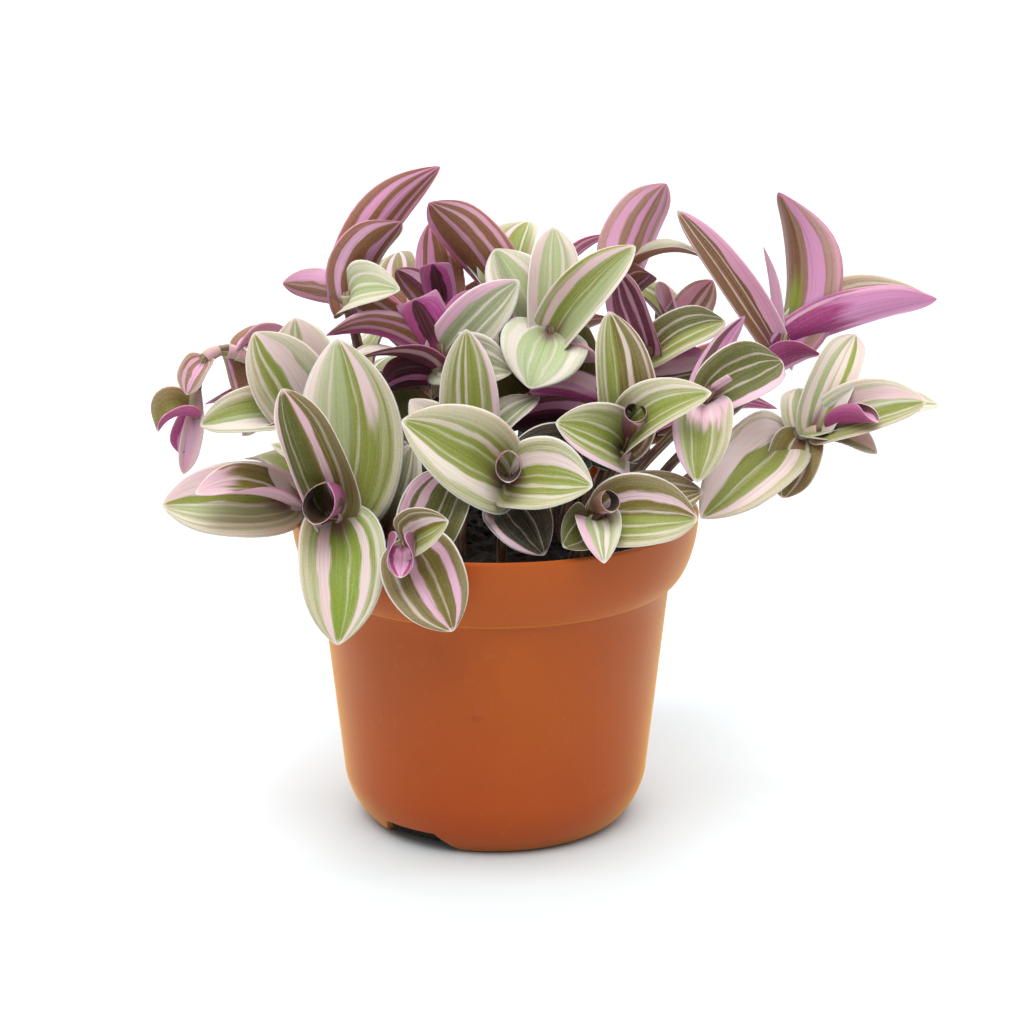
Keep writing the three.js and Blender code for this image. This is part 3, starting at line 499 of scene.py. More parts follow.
# Each shoot: name, root on the soil, growing tip, the way it grows there, and its leaves. Each leaf:
# - its form: length back from the growing tip, leaf tip, width, arch as a share of its length, turn of
#   the margins in degrees, the way its upper face looks, and bow aside where it has one;
# - the colours of its upper side and underside, left/right of the midrib seen with the tip up;
# - its bands: how far left of the midrib, half width, how pink (0 cream, 1 pink, 2 dark, -1 green),
#   and from where along the leaf it shows (below 0: only up to there).
SHOOTS = [
    ("left_front", (-30, -24), (-47, -42, 103), (-0.25, -0.85, 0.3), [
        ((10, (-44, -26, 150), 32, 0.03, 25, (0, -1, 0.2), -0.06), "pale/green", "mauve",
         [(0.85, 0.11, 0.15), (0.4, 0.03, 0), (-0.42, 0.14, 0.4, 0.58), (-0.12, 0.02, 0)]),
        ((5, (-58, -46, 140), 26, 0.05, 80, (0.25, -1, 0.2)), "dark/olive", "mauve",
         [(-0.22, 0.1, 0.55), (-0.55, 0.03, 0.1), (0.86, 0.16, 0.4), (0.4, 0.02, 0)]),
        ((7, (-43, -57, 70), 27, 0.14, 30, (0, -1, 0.2), 0.05), "fresh", "mauve",
         [(-0.45, 0.14, 0.4), (0.5, 0.11, 0.35), (0.8, 0.04, 0), (0.12, 0.018, 0)]),
        ((2, (-49, -59, 105), 30, 0.02, 165, (0.2, 0.3, 1)), "brown", "magenta/olive",
         [(0.5, 0.1, 2), (-0.6, 0.12, 0.3)]),
        ((16, (-63, -32, 121), 16, 0.1, 40, (-0.2, -0.3, 1)), "pale", "mauve", [(0.3, 0.1, 0.1)]),
        ((26, (-23, -28, 120), 18, 0.15, 40, (0, -1, 0.5)), "grey", "mauve",
         [(0.4, 0.08, 0.2), (-0.3, 0.06, 0.1)])]),
    ("left_low", (-40, -8), (-61, -14, 99), (-0.9, -0.3, 0.25), [
        # This leaf's left half faces down; it is pale to paint in light shining through it.
        ((3, (-95, -24, 101), 25, 0.08, 30, (0, -1, 0.5)), "pale/green", "mauve",
         [(-0.62, 0.36, 0.4), (0.02, 0.05, 0.1), (0.35, 0.035, 0.1), (0.62, 0.05, 0)]),
        ((2, (-84, -34, 107), 18, 0.1, 75, (0, -0.6, 1)), "olive", "blush/mauve",
         [(0, 1, 0.55, 0.66), (-0.4, 0.04, 0.2), (0.3, 0.03, 0.1), (0, 0.02, 0)]),
        ((12, (-74, 10, 106), 20, 0.15, 30, (0, 0, 1)), "green", "mauve", [(0.4, 0.1, 0.2)])]),
    ("middle_front", (2, -30), (4, -42, 114), (0, -0.85, 0.5), [
        ((6, (-25, -54, 133), 28, 0.08, 25, (0, -1, 0.6)), "green", "mauve",
         [(-0.45, 0.07, 0.25), (-0.2, 0.025, 0.1), (0.52, 0.16, 0.1), (0.2, 0.02, 0)]),
        ((4, (27, -56, 115), 25, 0.1, 28, (0, -1, 0.7)), "green", "mauve",
         [(0.5, 0.15, 0.3), (-0.2, 0.05, 0.1), (-0.55, 0.05, 0.1), (0.1, 0.02, 0)]),
        ((1, (4, -56, 116), 24, 0.02, 170, (0, 0.3, 1)), "brown", "olive/mauve", [(0, 0.2, 0.6)]),
        ((13, (14, -51, 94), 20, 0.15, 30, (0, -1, 0.5)), "deep", "purple",
         [(-0.82, 0.12, 0.5, 0.3), (0.3, 0.02, 0), (-0.2, 0.02, 0)])]),
    ("right_middle", (26, -22), (38, -34, 124), (0.1, -0.6, 0.75), [
        ((6, (32, -28, 158), 22, 0.06, 50, (0.3, -1, 0.2)), "green/olive", "mauve",
         [(0.5, 0.04, 0), (-0.32, 0.08, 0.2), (0.12, 0.02, 0), (-0.8, 0.05, 0.3)]),
        ((7, (60, -42, 138), 20, 0.22, 40, (-0.2, -1, 1)), "green", "mauve",
         [(0.62, 0.07, 0.2), (0.3, 0.04, 0.1), (-0.2, 0.025, 0), (-0.6, 0.03, 0)]),
        ((8, (17, -44, 130), 22, 0.16, 45, (0.2, -1, 0.5)), "green", "mauve",
         [(-0.3, 0.035, 0.1), (0.05, 0.03, 0), (0.35, 0.05, 0.1), (0.88, 0.16, 0.6)]),
        ((2, (38, -47, 131), 20, 0.02, 160, (0.3, 0.3, 1)), "brown", "mauve/plum", [(0.3, 0.15, 0.4)])]),
    ("right_front", (22, -38), (30, -50, 106), (0.1, -0.85, 0.45), [
        ((6, (56, -53, 105), 24, 0.15, 35, (0, -1, 0.6)), "olive/green", "mauve",
         [(0.45, 0.1, 0.5), (0.1, 0.035, 0.2), (-0.25, 0.03, 0.1), (-0.55, 0.03, 0.1)]),
        ((7, (30, -66, 96), 14, 0.2, 30, (0, -1, 1)), "pale", "mauve",
         [(-0.75, 0.2, 0.7), (0.3, 0.12, 0.1), (-0.15, 0.08, 0.1)]),
        ((9, (19, -57, 98), 16, 0.15, 35, (0, -1, 0.4)), "dark", "purple",
         [(0.3, 0.03, 0), (-0.4, 0.03, 0)]),
        ((8, (55, -39, 115), 20, 0.06, 20, (0, -1, 1)), "olive", "mauve",
         [(0.5, 0.04, 0.3), (0.15, 0.04, 0.2), (-0.2, 0.04, 0.1), (-0.6, 0.06, 0.1)]),
        ((2, (32, -61, 109), 18, 0.02, 170, (0, 0.3, 1)), "olive", "olive/mauve", [(0, 0.15, 0.6)])]),
    ("rim_front", (-16, -42), (-25, -60, 99), (-0.1, -0.95, 0.1), [
        ((5, (-12, -70, 109), 17, 0.1, 50, (-0.2, -1, 0.5)), "olive/green", "mauve",
         [(0.35, 0.16, 0.35), (-0.2, 0.025, 0), (0.75, 0.03, 0)]),
        ((1, (-25, -73, 94), 22, 0.02, 150, (0, 0.2, 1)), "magenta", "plum",
         [(0, 0.25, 1), (0.6, 0.06, 0.3), (-0.6, 0.06, 0.3)]),
        ((7, (-11, -70, 78), 25, 0.1, 30, (0, -1, 0.3)), "olive", "plum",
         [(-0.2, 0.12, 0.72), (0.6, 0.12, 0.72), (0.17, 0.025, 0), (-0.66, 0.05, 0.15)]),
        ((14, (-7, -45, 117), 21, 0.2, 30, (0, -1, 0.8)), "dark", "plum",
         [(0.45, 0.13, 0.6), (-0.1, 0.03, 0.1), (0.8, 0.12, 0.7), (-0.5, 0.02, 0)])]),
    ("middle_tall", (-10, -16), (-6, -24, 118), (0, -0.5, 0.85), [
        ((6, (-8, -18, 151), 19, 0.05, 30, (0, -1, 0.2)), "green", "mauve",
         [(0.36, 0.06, 0.25), (0.08, 0.05, 0.2), (-0.85, 0.1, 0.5, 0.4), (-0.45, 0.04, 0.1)]),
        ((8, (-24, -20, 131), 16, 0.1, 40, (0.2, -1, 0.2)), "cream", "blush",
         [(0.4, 0.1, 0), (-0.3, 0.08, 0.3)]),
        ((10, (13, -12, 130), 16, 0.15, 40, (0, -0.4, 1)), "grey", "mauve",
         [(0.4, 0.08, 0), (-0.2, 0.06, 0)])]),
    ("top_middle", (10, 0), (16, -4, 149), (0, -0.4, 0.9), [
        ((2, (10, -19, 134), 27, 0.1, 20, (0, -1, 0.5)), "mint", "mauve",
         [(-0.66, 0.14, 0), (0.22, 0.03, 0), (0.7, 0.1, 0), (-0.2, 0.025, 0)]),
        ((6, (17, 8, 176), 21, 0.05, 60, (0.1, -1, 0.2)), "mint", "mauve",
         [(0.7, 0.24, 0.35), (0.1, 0.04, 0.1), (-0.35, 0.06, 0), (-0.75, 0.12, 0.1)]),
        ((7, (40, -8, 173), 20, 0.1, 55, (-0.3, -1, 0.5)), "green/pale", "mauve",
         [(0.6, 0.13, 0.42), (0.1, 0.02, 0), (-0.85, 0.1, 0.1), (0.9, 0.08, -1, 0.5)]),
        ((9, (0, 8, 170), 22, 0.1, 30, (0.2, -1, 0.3)), "grey/pale", "mauve",
         [(0.5, 0.04, 0), (0.85, 0.14, 0.1), (-0.55, 0.08, 0.05)]),
        ((14, (33, -18, 140), 16, 0.1, 40, (0, 0.6, 0.6)), "grey", "blush", [(0.4, 0.12, 0.2)])]),
    ("right_low", (46, -6), (97, -10, 120), (0.8, -0.45, 0.25), [
        ((14, (58, -38, 101), 26, 0.1, 35, (0, -1, 0.5)), "green", "mauve",
         [(-0.5, 0.27, 0.3), (0.58, 0.15, 0.3), (0.12, 0.025, 0), (-0.88, 0.04, 0)]),
        ((6, (105, 4, 145), 18, 0.2, 60, (-0.2, -1, 0.2)), "pale/cream", "blush",
         [(0.6, 0.14, 0.2), (0.12, 0.1, 0.25), (-0.35, 0.12, -1), (-0.75, 0.1, 0.3)]),
        ((4, (123, -18, 130), 20, 0.12, 40, (-0.2, -1, 0.8)), "pale/green", "mauve",
         [(0.48, 0.22, 0.4), (0.12, 0.05, 0.05), (-0.4, 0.04, 0), (0.85, 0.05, 0)]),
        ((5, (129, -5, 126), 17, 0.08, 40, (0, -0.5, 1)), "pale", "mauve",
         [(0.4, 0.12, 0.2), (-0.3, 0.12, 0.05)]),
        ((9, (89, 4, 129), 14, 0.1, 30, (0, -1, 0.4)), "pale", "mauve",
         [(0.5, 0.1, 0), (-0.3, 0.06, 0)]),
        ((1, (108, -27, 126), 15, 0.05, 150, (0, 0.2, 1)), "plum", "plum/magenta", [(0.3, 0.3, 1)]),
        ((8, (110, -15, 114), 14, 0.1, 40, (0, -0.5, 1)), "cream/pale", "blush",
         [(0.2, 0.15, 0.2)]),
        ((9, (83, -16, 101), 18, 0.15, 40, (0, -0.8, 0.6)), "olive", "mauve",
         [(0.4, 0.06, 0.1), (-0.3, 0.05, 0)])]),
    ("right_upper", (32, -14), (61, -28, 136), (0.3, -0.5, 0.75), [
        ((6, (56, -48, 114), 20, 0.14, 40, (0, -1, 0.6)), "green", "magenta",
         [(0.15, 0.7, 0.6, -0.4), (-0.3, 0.03, 0), (0.35, 0.03, 0.1), (-0.9, 0.1, 0.9)]),
        ((5, (82, -15, 141), 21, 0.12, 40, (0, -1, 0.7)), "dark", "magenta",
         [(0.5, 0.03, 0.3), (0.2, 0.03, 0.3), (-0.2, 0.03, 0.2), (-0.85, 0.18, 0.6)]),
        ((9, (72, -4, 152), 10, 0.1, 50, (0, 1, 0.3)), "brown", "lilac", [(0.2, 0.15, 0.6), (-0.5, 0.2, 2)]),
        ((1, (66, -32, 140), 6, 0.02, 160, (0, 1, 0)), "blush", "blush", [])]),
    ("right_tall", (44, 8), (85, 6, 145), (0.1, -0.2, 1), [
        ((5, (82, 8, 186), 26, 0.14, 50, (0.8, 0.8, 0), 0.05), "taupe", "taupe/mauve",
         [(0.4, 0.24, 0.85), (-0.9, 0.08, 0.5), (0.9, 0.05, 0.6), (-0.15, 0.3, -1, -0.36)]),
        ((4, (127, -4, 157), 19, 0.04, 60, (0, 1, 0.6)), "green", "magenta",
         [(0, 1, 0.95, 0.42), (0.82, 0.06, 0.1), (-0.85, 0.06, 0.3)]),
        ((6, (126, 18, 155), 16, -0.05, 25, (0, -1, 0.3), 0.14), "pale/green", "mauve",
         [(0.5, 0.08, 0.1), (-0.7, 0.08, 0.3), (0.05, 0.04, 0)]),
        ((8, (53, 14, 180), 15, 0.06, 60, (0.3, -1, 0.3)), "brown", "mauve",
         [(-0.72, 0.36, 0.95), (-0.25, 0.03, 0.2), (0.15, 0.04, 0.2), (0.85, 0.06, 0.5)]),
        ((12, (78, 9, 170), 9, 0.05, 40, (1, 0.3, 0)), "grey", "blush", [(0.5, 0.3, 0.5)]),
        ((15, (94, -9, 142), 14, 0.1, 50, (0, 0.8, 0.6)), "brown", "magenta", [(0.3, 0.2, 1)])]),
    ("top_right", (26, 10), (38, 12, 163), (0.2, 0, 1), [
        ((3, (50, 18, 187), 22, 0.1, 50, (-0.2, 1, 0.3)), "taupe", "taupe",
         [(-0.6, 0.16, 0.65), (-0.15, 0.1, 0.8), (0.28, 0.1, 0.85), (0.72, 0.14, 0.9)]),
        ((2, (62, 6, 167), 15, 0.18, 30, (0, 0, 1)), "grey", "grey/mauve", [(0.3, 0.1, 0.1)]),
        ((9, (45, 4, 163), 14, 0.1, 50, (0, 1, 0.4)), "brown", "plum/mauve",
         [(0.2, 0.05, 0.4), (-0.4, 0.05, 0.4)])]),
    ("inner_right", (20, -2), (45, -2, 143), (0.1, -0.35, 0.9), [
        ((5, (67, 3, 149), 16, 0.2, 35, (0, -1, 0.9)), "dark/green", "mauve",
         [(0.5, 0.04, 0.05), (0.15, 0.035, 0), (-0.25, 0.04, 0.05), (-0.7, 0.04, 0.1)]),
        ((9, (63, -14, 142), 12, 0.03, 40, (0, 1, 0.2)), "dark", "blush",
         [(-0.6, 0.3, 1), (0.75, 0.12, 2)]),
        ((4, (35, -2, 165), 19, 0.05, 80, (-0.2, -1, 0.2)), "plum", "plum",
         [(0.78, 0.22, 1), (0.2, 0.05, 0.7), (-0.2, 0.07, 0.8), (-0.75, 0.14, 0.9)]),
        ((25, (66, 8, 132), 20, 0.1, 35, (0, -1, 0.5)), "dark", "purple", [(0.4, 0.03, 0)]),
        ((34, (48, -18, 112), 20, 0.15, 35, (0, -1, 0.5)), "deep", "plum", [(-0.4, 0.03, 0)])]),
    ("inner_back_right", (30, 22), (54, 18, 148), (0.1, 0, 1), [
        ((3, (48, 13, 159), 12, 0.05, 130, (0, -1, 0)), "blush", "magenta/blush", [(0.3, 0.2, 0.6)]),
        ((5, (64, 15, 159), 15, 0.1, 50, (0, -1, 0.3)), "taupe", "magenta",
         [(0.5, 0.3, 0.8), (-0.1, 0.12, 0.5), (-0.6, 0.1, 0.3)]),
        ((6, (38, 28, 156), 18, 0.1, 40, (0, 0, 1)), "green", "mauve",
         [(0.4, 0.1, 0.4), (-0.4, 0.05, 0)]),
        ((7, (64, 42, 146), 18, 0.15, 40, (0, 0, 1)), "green", "magenta",
         [(-0.3, 0.15, 0.5), (0.4, 0.05, 0)]),
        ((28, (34, 2, 132), 20, 0.1, 35, (0, -1, 0.5)), "deep", "plum", [(0.3, 0.03, 0)]),
        ((34, (64, 24, 112), 20, 0.15, 35, (0, 0.2, 1)), "dark", "purple", [(0.4, 0.03, 0)])]),
    ("inner_middle", (12, -14), (30, -14, 133), (-0.4, -0.5, 0.7), [
        ((5, (10, -18, 130), 13, 0.16, 40, (0, 1, 0.4)), "dark", "blush/orchid",
         [(0.25, 0.1, 1), (-0.5, 0.08, 0.4), (0.85, 0.1, 0)]),
        ((10, (2, -22, 126), 17, 0.15, 40, (0, 1, 0.5)), "dark", "plum/purple",
         [(0.3, 0.15, 0.8)]),
        ((17, (31, -32, 118), 20, 0.15, 35, (0, -1, 0.6)), "dark", "plum",
         [(0.4, 0.05, 0.2), (-0.3, 0.04, 0.1)]),
        ((23, (2, -32, 115), 18, 0.15, 35, (0, -1, 0.6)), "deep", "plum", [(0.4, 0.05, 0.2)])]),
    ("high_left", (-30, 12), (-43, 8, 157), (-0.1, -0.2, 1), [
        ((5, (-16, 18, 192), 19, 0.06, 40, (-0.3, 1, 0.3), -0.1), "pale", "mauve",
         [(-0.55, 0.12, 0.8), (-0.08, 0.13, 0.9), (0.38, 0.08, 0.85), (0.82, 0.12, 0.6)]),
        ((4, (-27, 4, 178), 20, 0.08, 50, (-0.35, 0.9, 0.3), -0.08), "cream/pale", "mauve",
         [(-0.6, 0.12, 0.6), (0.1, 0.14, 0.8), (0.6, 0.06, 0.4), (0.9, 0.14, 0)]),
        ((1, (-62, 10, 159), 12, 0.1, 40, (0, 1, 0.1)), "taupe", "taupe",
         [(0.55, 0.35, 0.7), (-0.6, 0.2, 0.7), (0, 0.05, 0.2)]),
        ((5, (-27, -6, 160), 18, 0.25, 30, (-0.1, -1, 0.8)), "pale", "mauve",
         [(0.55, 0.06, 0), (0.15, 0.05, 0), (-0.3, 0.06, 0), (-0.7, 0.06, 0.1)])]),
    ("top_left", (-20, 4), (-16, -4, 144), (0, -0.3, 0.95), [
        ((6, (-48, -12, 148), 15, 0.18, 40, (0, 0.7, 0.6)), "green", "mauve/orchid",
         [(0.15, 0.1, 0.9), (0.9, 0.12, 0.4), (0.55, 0.06, 0.9)]),
        ((3, (-23, -10, 158), 26, 0.05, 100, (0, 1, 0)), "brown", "orchid",
         [(0, 0.2, 2), (-0.8, 0.12, 0.8), (0.8, 0.12, 0.8)]),
        ((5, (-6, 0, 159), 13, 0.05, 60, (0, 1, 0.2)), "brown", "orchid", [(0.3, 0.3, 1)]),
        ((7, (7, -2, 162), 18, 0.1, 30, (0, -1, 0.5)), "grey", "magenta",
         [(0.85, 0.3, 0.75), (0.2, 0.05, 0), (-0.3, 0.05, 0)]),
        ((8, (8, -16, 138), 20, 0.12, 30, (0, -1, 0.7)), "grey", "mauve",
         [(0.5, 0.07, 0), (0, 0.05, 0), (-0.5, 0.07, 0)]),
        ((9, (-42, -21, 142), 17, 0.1, 30, (0, 0.2, 1)), "pale", "plum/grey",
         [(0.6, 0.12, 0.1), (-0.6, 0.2, 0)]),
        ((12, (-34, -16, 130), 17, 0.15, 40, (0, 1, 0.5)), "dark", "purple",
         [(0.15, 0.12, 1), (-0.5, 0.08, 0.8)]),
        ((30, (-44, 4, 132), 19, 0.1, 35, (0.1, -1, 0.6)), "dark", "plum", [(0.4, 0.03, 0)]),
        ((33, (-4, 0, 128), 19, 0.1, 35, (0, -1, 0.6)), "deep", "purple", [(-0.3, 0.03, 0)]),
        ((40, (-20, -16, 104), 18, 0.15, 35, (0, -1, 0.5)), "deep", "plum", [])]),
    ("high_inner", (-14, 12), (-15, 12, 154), (0, 0, 1), [
        ((6, (-19, 23, 175), 17, 0.06, 40, (0, 1, 0.2)), "brown", "mauve",
         [(-0.78, 0.2, 0.8), (-0.2, 0.16, 1), (0.5, 0.05, 0.8)]),
        ((4, (-18, 4, 166), 16, 0.05, 80, (0, 1, 0)), "brown", "orchid",
         [(0, 0.24, 2), (0.7, 0.15, 1)]),
        ((7, (-29, 8, 164), 14, 0.1, 60, (0, 1, 0.2)), "brown", "plum/mauve",
         [(0.5, 0.2, 0.5), (-0.3, 0.1, 0.8)])]),
    ("high_middle", (0, 12), (3, 14, 160), (0, 0, 1), [
        ((3, (-19, 12, 182), 21, 0.06, 45, (0, 1, 0.4)), "olive", "mauve",
         [(-0.82, 0.16, 1), (0.02, 0.07, 0.6), (0.42, 0.06, 0.4), (0.78, 0.08, 0.5)]),
        ((6, (10, 30, 174), 20, 0.15, 40, (0, 0, 1)), "green", "mauve",
         [(0.4, 0.1, 0.4), (-0.3, 0.05, 0)]),
        ((8, (-8, 36, 160), 20, 0.15, 40, (0, 0, 1)), "green", "magenta",
         [(-0.4, 0.15, 0.3), (0.3, 0.05, 0)])]),
    ("left_upper", (-30, -8), (-56, -14, 128), (-0.4, -0.5, 0.7), [
        ((5, (-68, -18, 150), 25, 0.08, 30, (0.1, -1, 0.4)), "green/pale", "mauve",
         [(-0.28, 0.25, 0.34), (0.25, 0.05, 0), (0.58, 0.05, 0), (0.85, 0.05, 0)]),
        ((8, (-57, -7, 152), 25, 0.06, 30, (0, -1, 0.3)), "pale", "blush",
         [(-0.45, 0.35, 0.3), (0.5, 0.12, 0.2), (0.1, 0.06, 0)]),
        ((4, (-84, -18, 123), 17, 0.15, 40, (0, -1, 0.7)), "pale/green", "blush",
         [(0.5, 0.3, 0.1), (-0.7, 0.05, 0)]),
        ((2, (-72, -22, 121), 12, 0.1, 50, (0, -0.6, 1)), "pale", "blush", [(0.5, 0.15, 0)])]),
    ("left_far", (-40, 8), (-86, -10, 123), (0.1, -0.2, -2.4), [
        ((1, (-97, -13, 120), 18, 0.3, 70, (0, -0.3, 1)), "dark/olive", "magenta",
         [(0, 0.2, 0.6, 0.6)]),
        ((2, (-91, -14, 114), 11, 0.1, 60, (0, 1, 0.3)), "brown", "magenta", [(0.2, 0.15, 1)]),
        ((18, (-88, -14, 131), 12, 0.12, 60, (-0.3, -1, 0.2)), "taupe", "mauve",
         [(0, 0.17, 0.95), (-0.5, 0.1, 0.7), (0.6, 0.06, 0.5)]),
        ((25, (-74, -4, 128), 11, 0.15, 60, (0.3, 1, 0)), "olive", "mauve/brown",
         [(0.2, 0.1, 0.8)]),
        ((28, (-60, 6, 144), 13, 0.2, 40, (0, 0.3, 1)), "mauve", "magenta/blush",
         [(0.3, 0.2, 1), (-0.6, 0.2, 0.6)]),
        ((3, (-90, -12, 107), 8, 0.05, 50, (0.2, -1, 0)), "blush", "blush", [(0, 0.15, 0.9)])]),
    ("shaded_middle", (17, 11), (18, 13, 120), (0.1, 0, 1), [
        ((4, (26, 8, 148), 20, 0.1, 35, (0.1, -1, 0.4)), "dark", "plum", [(0.4, 0.03, 0)]),
        ((6, (-4, 6, 140), 20, 0.1, 35, (0, -1, 0.4)), "dark", "purple", [(-0.3, 0.03, 0)]),
        ((10, (26, 30, 118), 20, 0.15, 35, (0, 0.2, 1)), "deep", "plum", []),
        ((14, (12, -12, 108), 20, 0.15, 35, (0, -1, 0.5)), "deep", "purple", [])]),
]

# Shoots at the back, which the photo hides: by the rule that placed their solids.
BACK_SHOOTS = 6
BACK_FROM = 50
BACK_TO = 152
BACK_REACH = (80, 42, 60)
BACK_TIP_HEIGHT = (106, 142, 122)
BACK_STRAY = 6
ROOT_SHARE = 0.55
ROOT_LIMIT = 44
LEAN_REACH = 60
LEAN_RISE = 0.8
BACK_LEAVES = 4
TURN_ON = 100
TURN_STRAY = 40
TURN_ACROSS = 80
SPREAD = 28
SPREAD_ON = 11
SHORTEST = 32
LONGER_ON = 3
LENGTH_STRAY = 5
TIP_BACK_ON = 4
WIDTH_SHARE = 0.52
WIDTH_STRAY = 0.1
FIRST_BACK = 2
NEXT_BACK = 6
BACK_ARCH = 0.12
BACK_CURL = 36
FACE_RISE = 0.6
BACK_BUD_REACH = 14
BACK_BUD = (18, 0.02, 165)
SEED = 41
BACK_LOOKS = [
    ("green", "mauve", [(0.5, 0.12, 0.35), (-0.2, 0.04, 0), (-0.6, 0.06, 0.1)]),
    ("pale/green", "magenta", [(-0.5, 0.22, 0.35), (0.3, 0.05, 0)]),
    ("olive", "plum", [(0.3, 0.12, 0.7), (-0.4, 0.1, 0.6), (0.75, 0.04, 0)]),
    ("green", "magenta", [(-0.3, 0.04, 0), (0.2, 0.03, 0), (0.65, 0.06, 0.1), (-0.7, 0.08, 0.3)]),
    ("dark/green", "mauve", [(0.1, 0.14, 0.45), (-0.55, 0.04, 0), (0.7, 0.04, 0)]),
]


def seeded_draws(drawn):
    """Numbers from 0 to 1, the same that placed the solids of the back shoots."""
    while True:
        drawn = (drawn * 16807) % 2147483647
        yield drawn / 2147483647


back_draws = seeded_draws(SEED)


def stray(width):
    return width * (next(back_draws) - 0.5)


def unit(way):
    return way / np.linalg.norm(way)


def back_shoot(number):
    """A shoot that leans outward, its leaves standing out by turns to either side."""
    share = number / (BACK_SHOOTS - 1)
    bearing = math.radians(BACK_FROM + (BACK_TO - BACK_FROM) * share + stray(BACK_STRAY))
    kind = number % len(BACK_REACH)
    reach = BACK_REACH[kind] + stray(BACK_STRAY)
    out = np.array((math.cos(bearing), math.sin(bearing), 0.0))
    crown = out * reach + (0, 0, BACK_TIP_HEIGHT[kind] + stray(BACK_STRAY))
    root = out * min(ROOT_SHARE * reach, ROOT_LIMIT)
    way = unit(out * reach / LEAN_REACH + (0, 0, LEAN_RISE))
    side = unit(np.cross(way, (0, 0, 1)))
    leaves = []
    for k in range(BACK_LEAVES):
        spin = math.radians(TURN_ON * k + stray(TURN_STRAY) + (k % 2) * TURN_ACROSS)
        spread = math.radians(SPREAD + SPREAD_ON * k)
        length = SHORTEST + LONGER_ON * k + LENGTH_STRAY * next(back_draws)
        aside = side * math.cos(spin) + np.cross(side, way) * math.sin(spin)
        ahead = length * math.cos(spread) - TIP_BACK_ON * k
        tip = crown + way * ahead + aside * length * math.sin(spread)
        width = length * (WIDTH_SHARE + WIDTH_STRAY * next(back_draws))
        back = FIRST_BACK + NEXT_BACK * k
        form = (back, tip, width, BACK_ARCH, BACK_CURL, way + (0, 0, FACE_RISE))
        leaves.append((form, *BACK_LOOKS[(number * 3 + k) % len(BACK_LOOKS)]))
    bud = (1, crown + way * BACK_BUD_REACH, *BACK_BUD, side)
    leaves.append((bud, "brown", "mauve", [(0, 0.2, 0.5)]))
    return (f"back_{number + 1}", root[:2], crown, way, leaves)


def stem_line(root, crown, way):
    """Up out of the soil, then over in one curve to the growing tip."""
    start = np.array((root[0], root[1], SOIL_TOP + STRAIGHT_ABOVE_SOIL), float)
    end = np.array(crown, float)
    reach = np.linalg.norm(end - start)
    rise = start + (0, 0, STEM_EASE * reach)
    lead = end - np.array(way, float) * STEM_EASE * reach
    t = np.linspace(0, 1, STEM_STEPS + 1)[:, None]
    return ((1 - t) ** 3 * start + 3 * (1 - t) ** 2 * t * rise + 3 * (1 - t) * t ** 2 * lead + t ** 3 * end)


def place_back(line, back):
    """The place on a stem a given length back from its growing tip."""
    left = back
    for i in range(len(line) - 1, 0, -1):
        step = np.linalg.norm(line[i] - line[i - 1])
        if left <= step or i == 1:
            return line[i] + (line[i - 1] - line[i]) * left / step
        left -= step


def solid_tip(corners, base, tip):
    """Where the leaf's tip stands in its solid, which gave way in whole steps or was made shorter.

    It is the solid's corner that lies a whole number of steps from the planned tip, or None.
    """
    for share in (1, SHORTER_SHARE):
        moves = (base + (corners - base) / share - tip) / GIVE_WAY_STEP
        moves[:, 2] += VIEW_SLOPE * moves[:, 1]
        steps = np.round(moves)
        miss = np.abs(moves - steps).max(axis=1)
        reach = np.abs(steps) <= (STEPS_ASIDE, STEPS_BACK, STEPS_ASIDE)
        miss[~reach.all(axis=1)] = 1
        if miss.min() < TIP_MISS:
            return corners[miss.argmin()]
    return None


def half_width(width, u):
    """A leaf's half width along it, with u from 0 at its base to 1 at its tip."""
    fullest = BASE_ROUNDNESS / (BASE_ROUNDNESS + TIP_ROUNDNESS)
    widest = fullest ** BASE_ROUNDNESS * (1 - fullest) ** TIP_ROUNDNESS
    drawn_in = 1 - TIP_DRAW * u ** 8
    leaf = drawn_in * width / 2 * u ** BASE_ROUNDNESS * (1 - u) ** TIP_ROUNDNESS / widest
    return np.maximum(leaf, LEAF_BASE_HALF * (1 - u))


class Growth:
    """What one shoot is made of while it grows: its points with what each is of, and its faces."""

    def __init__(self):
        self.points = []
        self.blade = []
        self.look = []
        self.faces = []
        self.kinds = []
        self.count = 0

    def add(self, points, blade, look, faces, kind):
        self.points.append(points)
        self.blade.append(blade)
        self.look.append(np.tile(look, (len(points), 1)))
        self.faces.extend(tuple(int(c) + self.count for c in face) for face in faces)
        self.kinds.extend([kind] * len(faces))
        self.count += len(points)


LEAF_KIND = 0
STEM_KIND = 1
STEM_MARK = 2
SHEATH_MARK = 3
HAIR_MARK = 4
BANDS = 4
NO_BAND = (5, 0.01, 0)
PLAIN_LOOK = np.zeros(32)


def halves(names):
    """The colours left and right of the midrib."""
    left, _, right = names.partition("/")
    return LEAF_COLOURS[left][:3], LEAF_COLOURS[right or left][:3]


def leaf_look(upper, under, bands, seed, shaded_inside):
    """32 numbers: four colours, with the leaf's seed and if it gets painted shade inside, and four bands."""
    look = []
    for colour in (*halves(upper), *halves(under)):
        look.extend((*colour, seed))
    look[7] = float(shaded_inside)
    for k in range(BANDS):
        band = bands[k] if k < len(bands) else NO_BAND
        look.extend((*band, 0)[:4])
    return np.array(look)


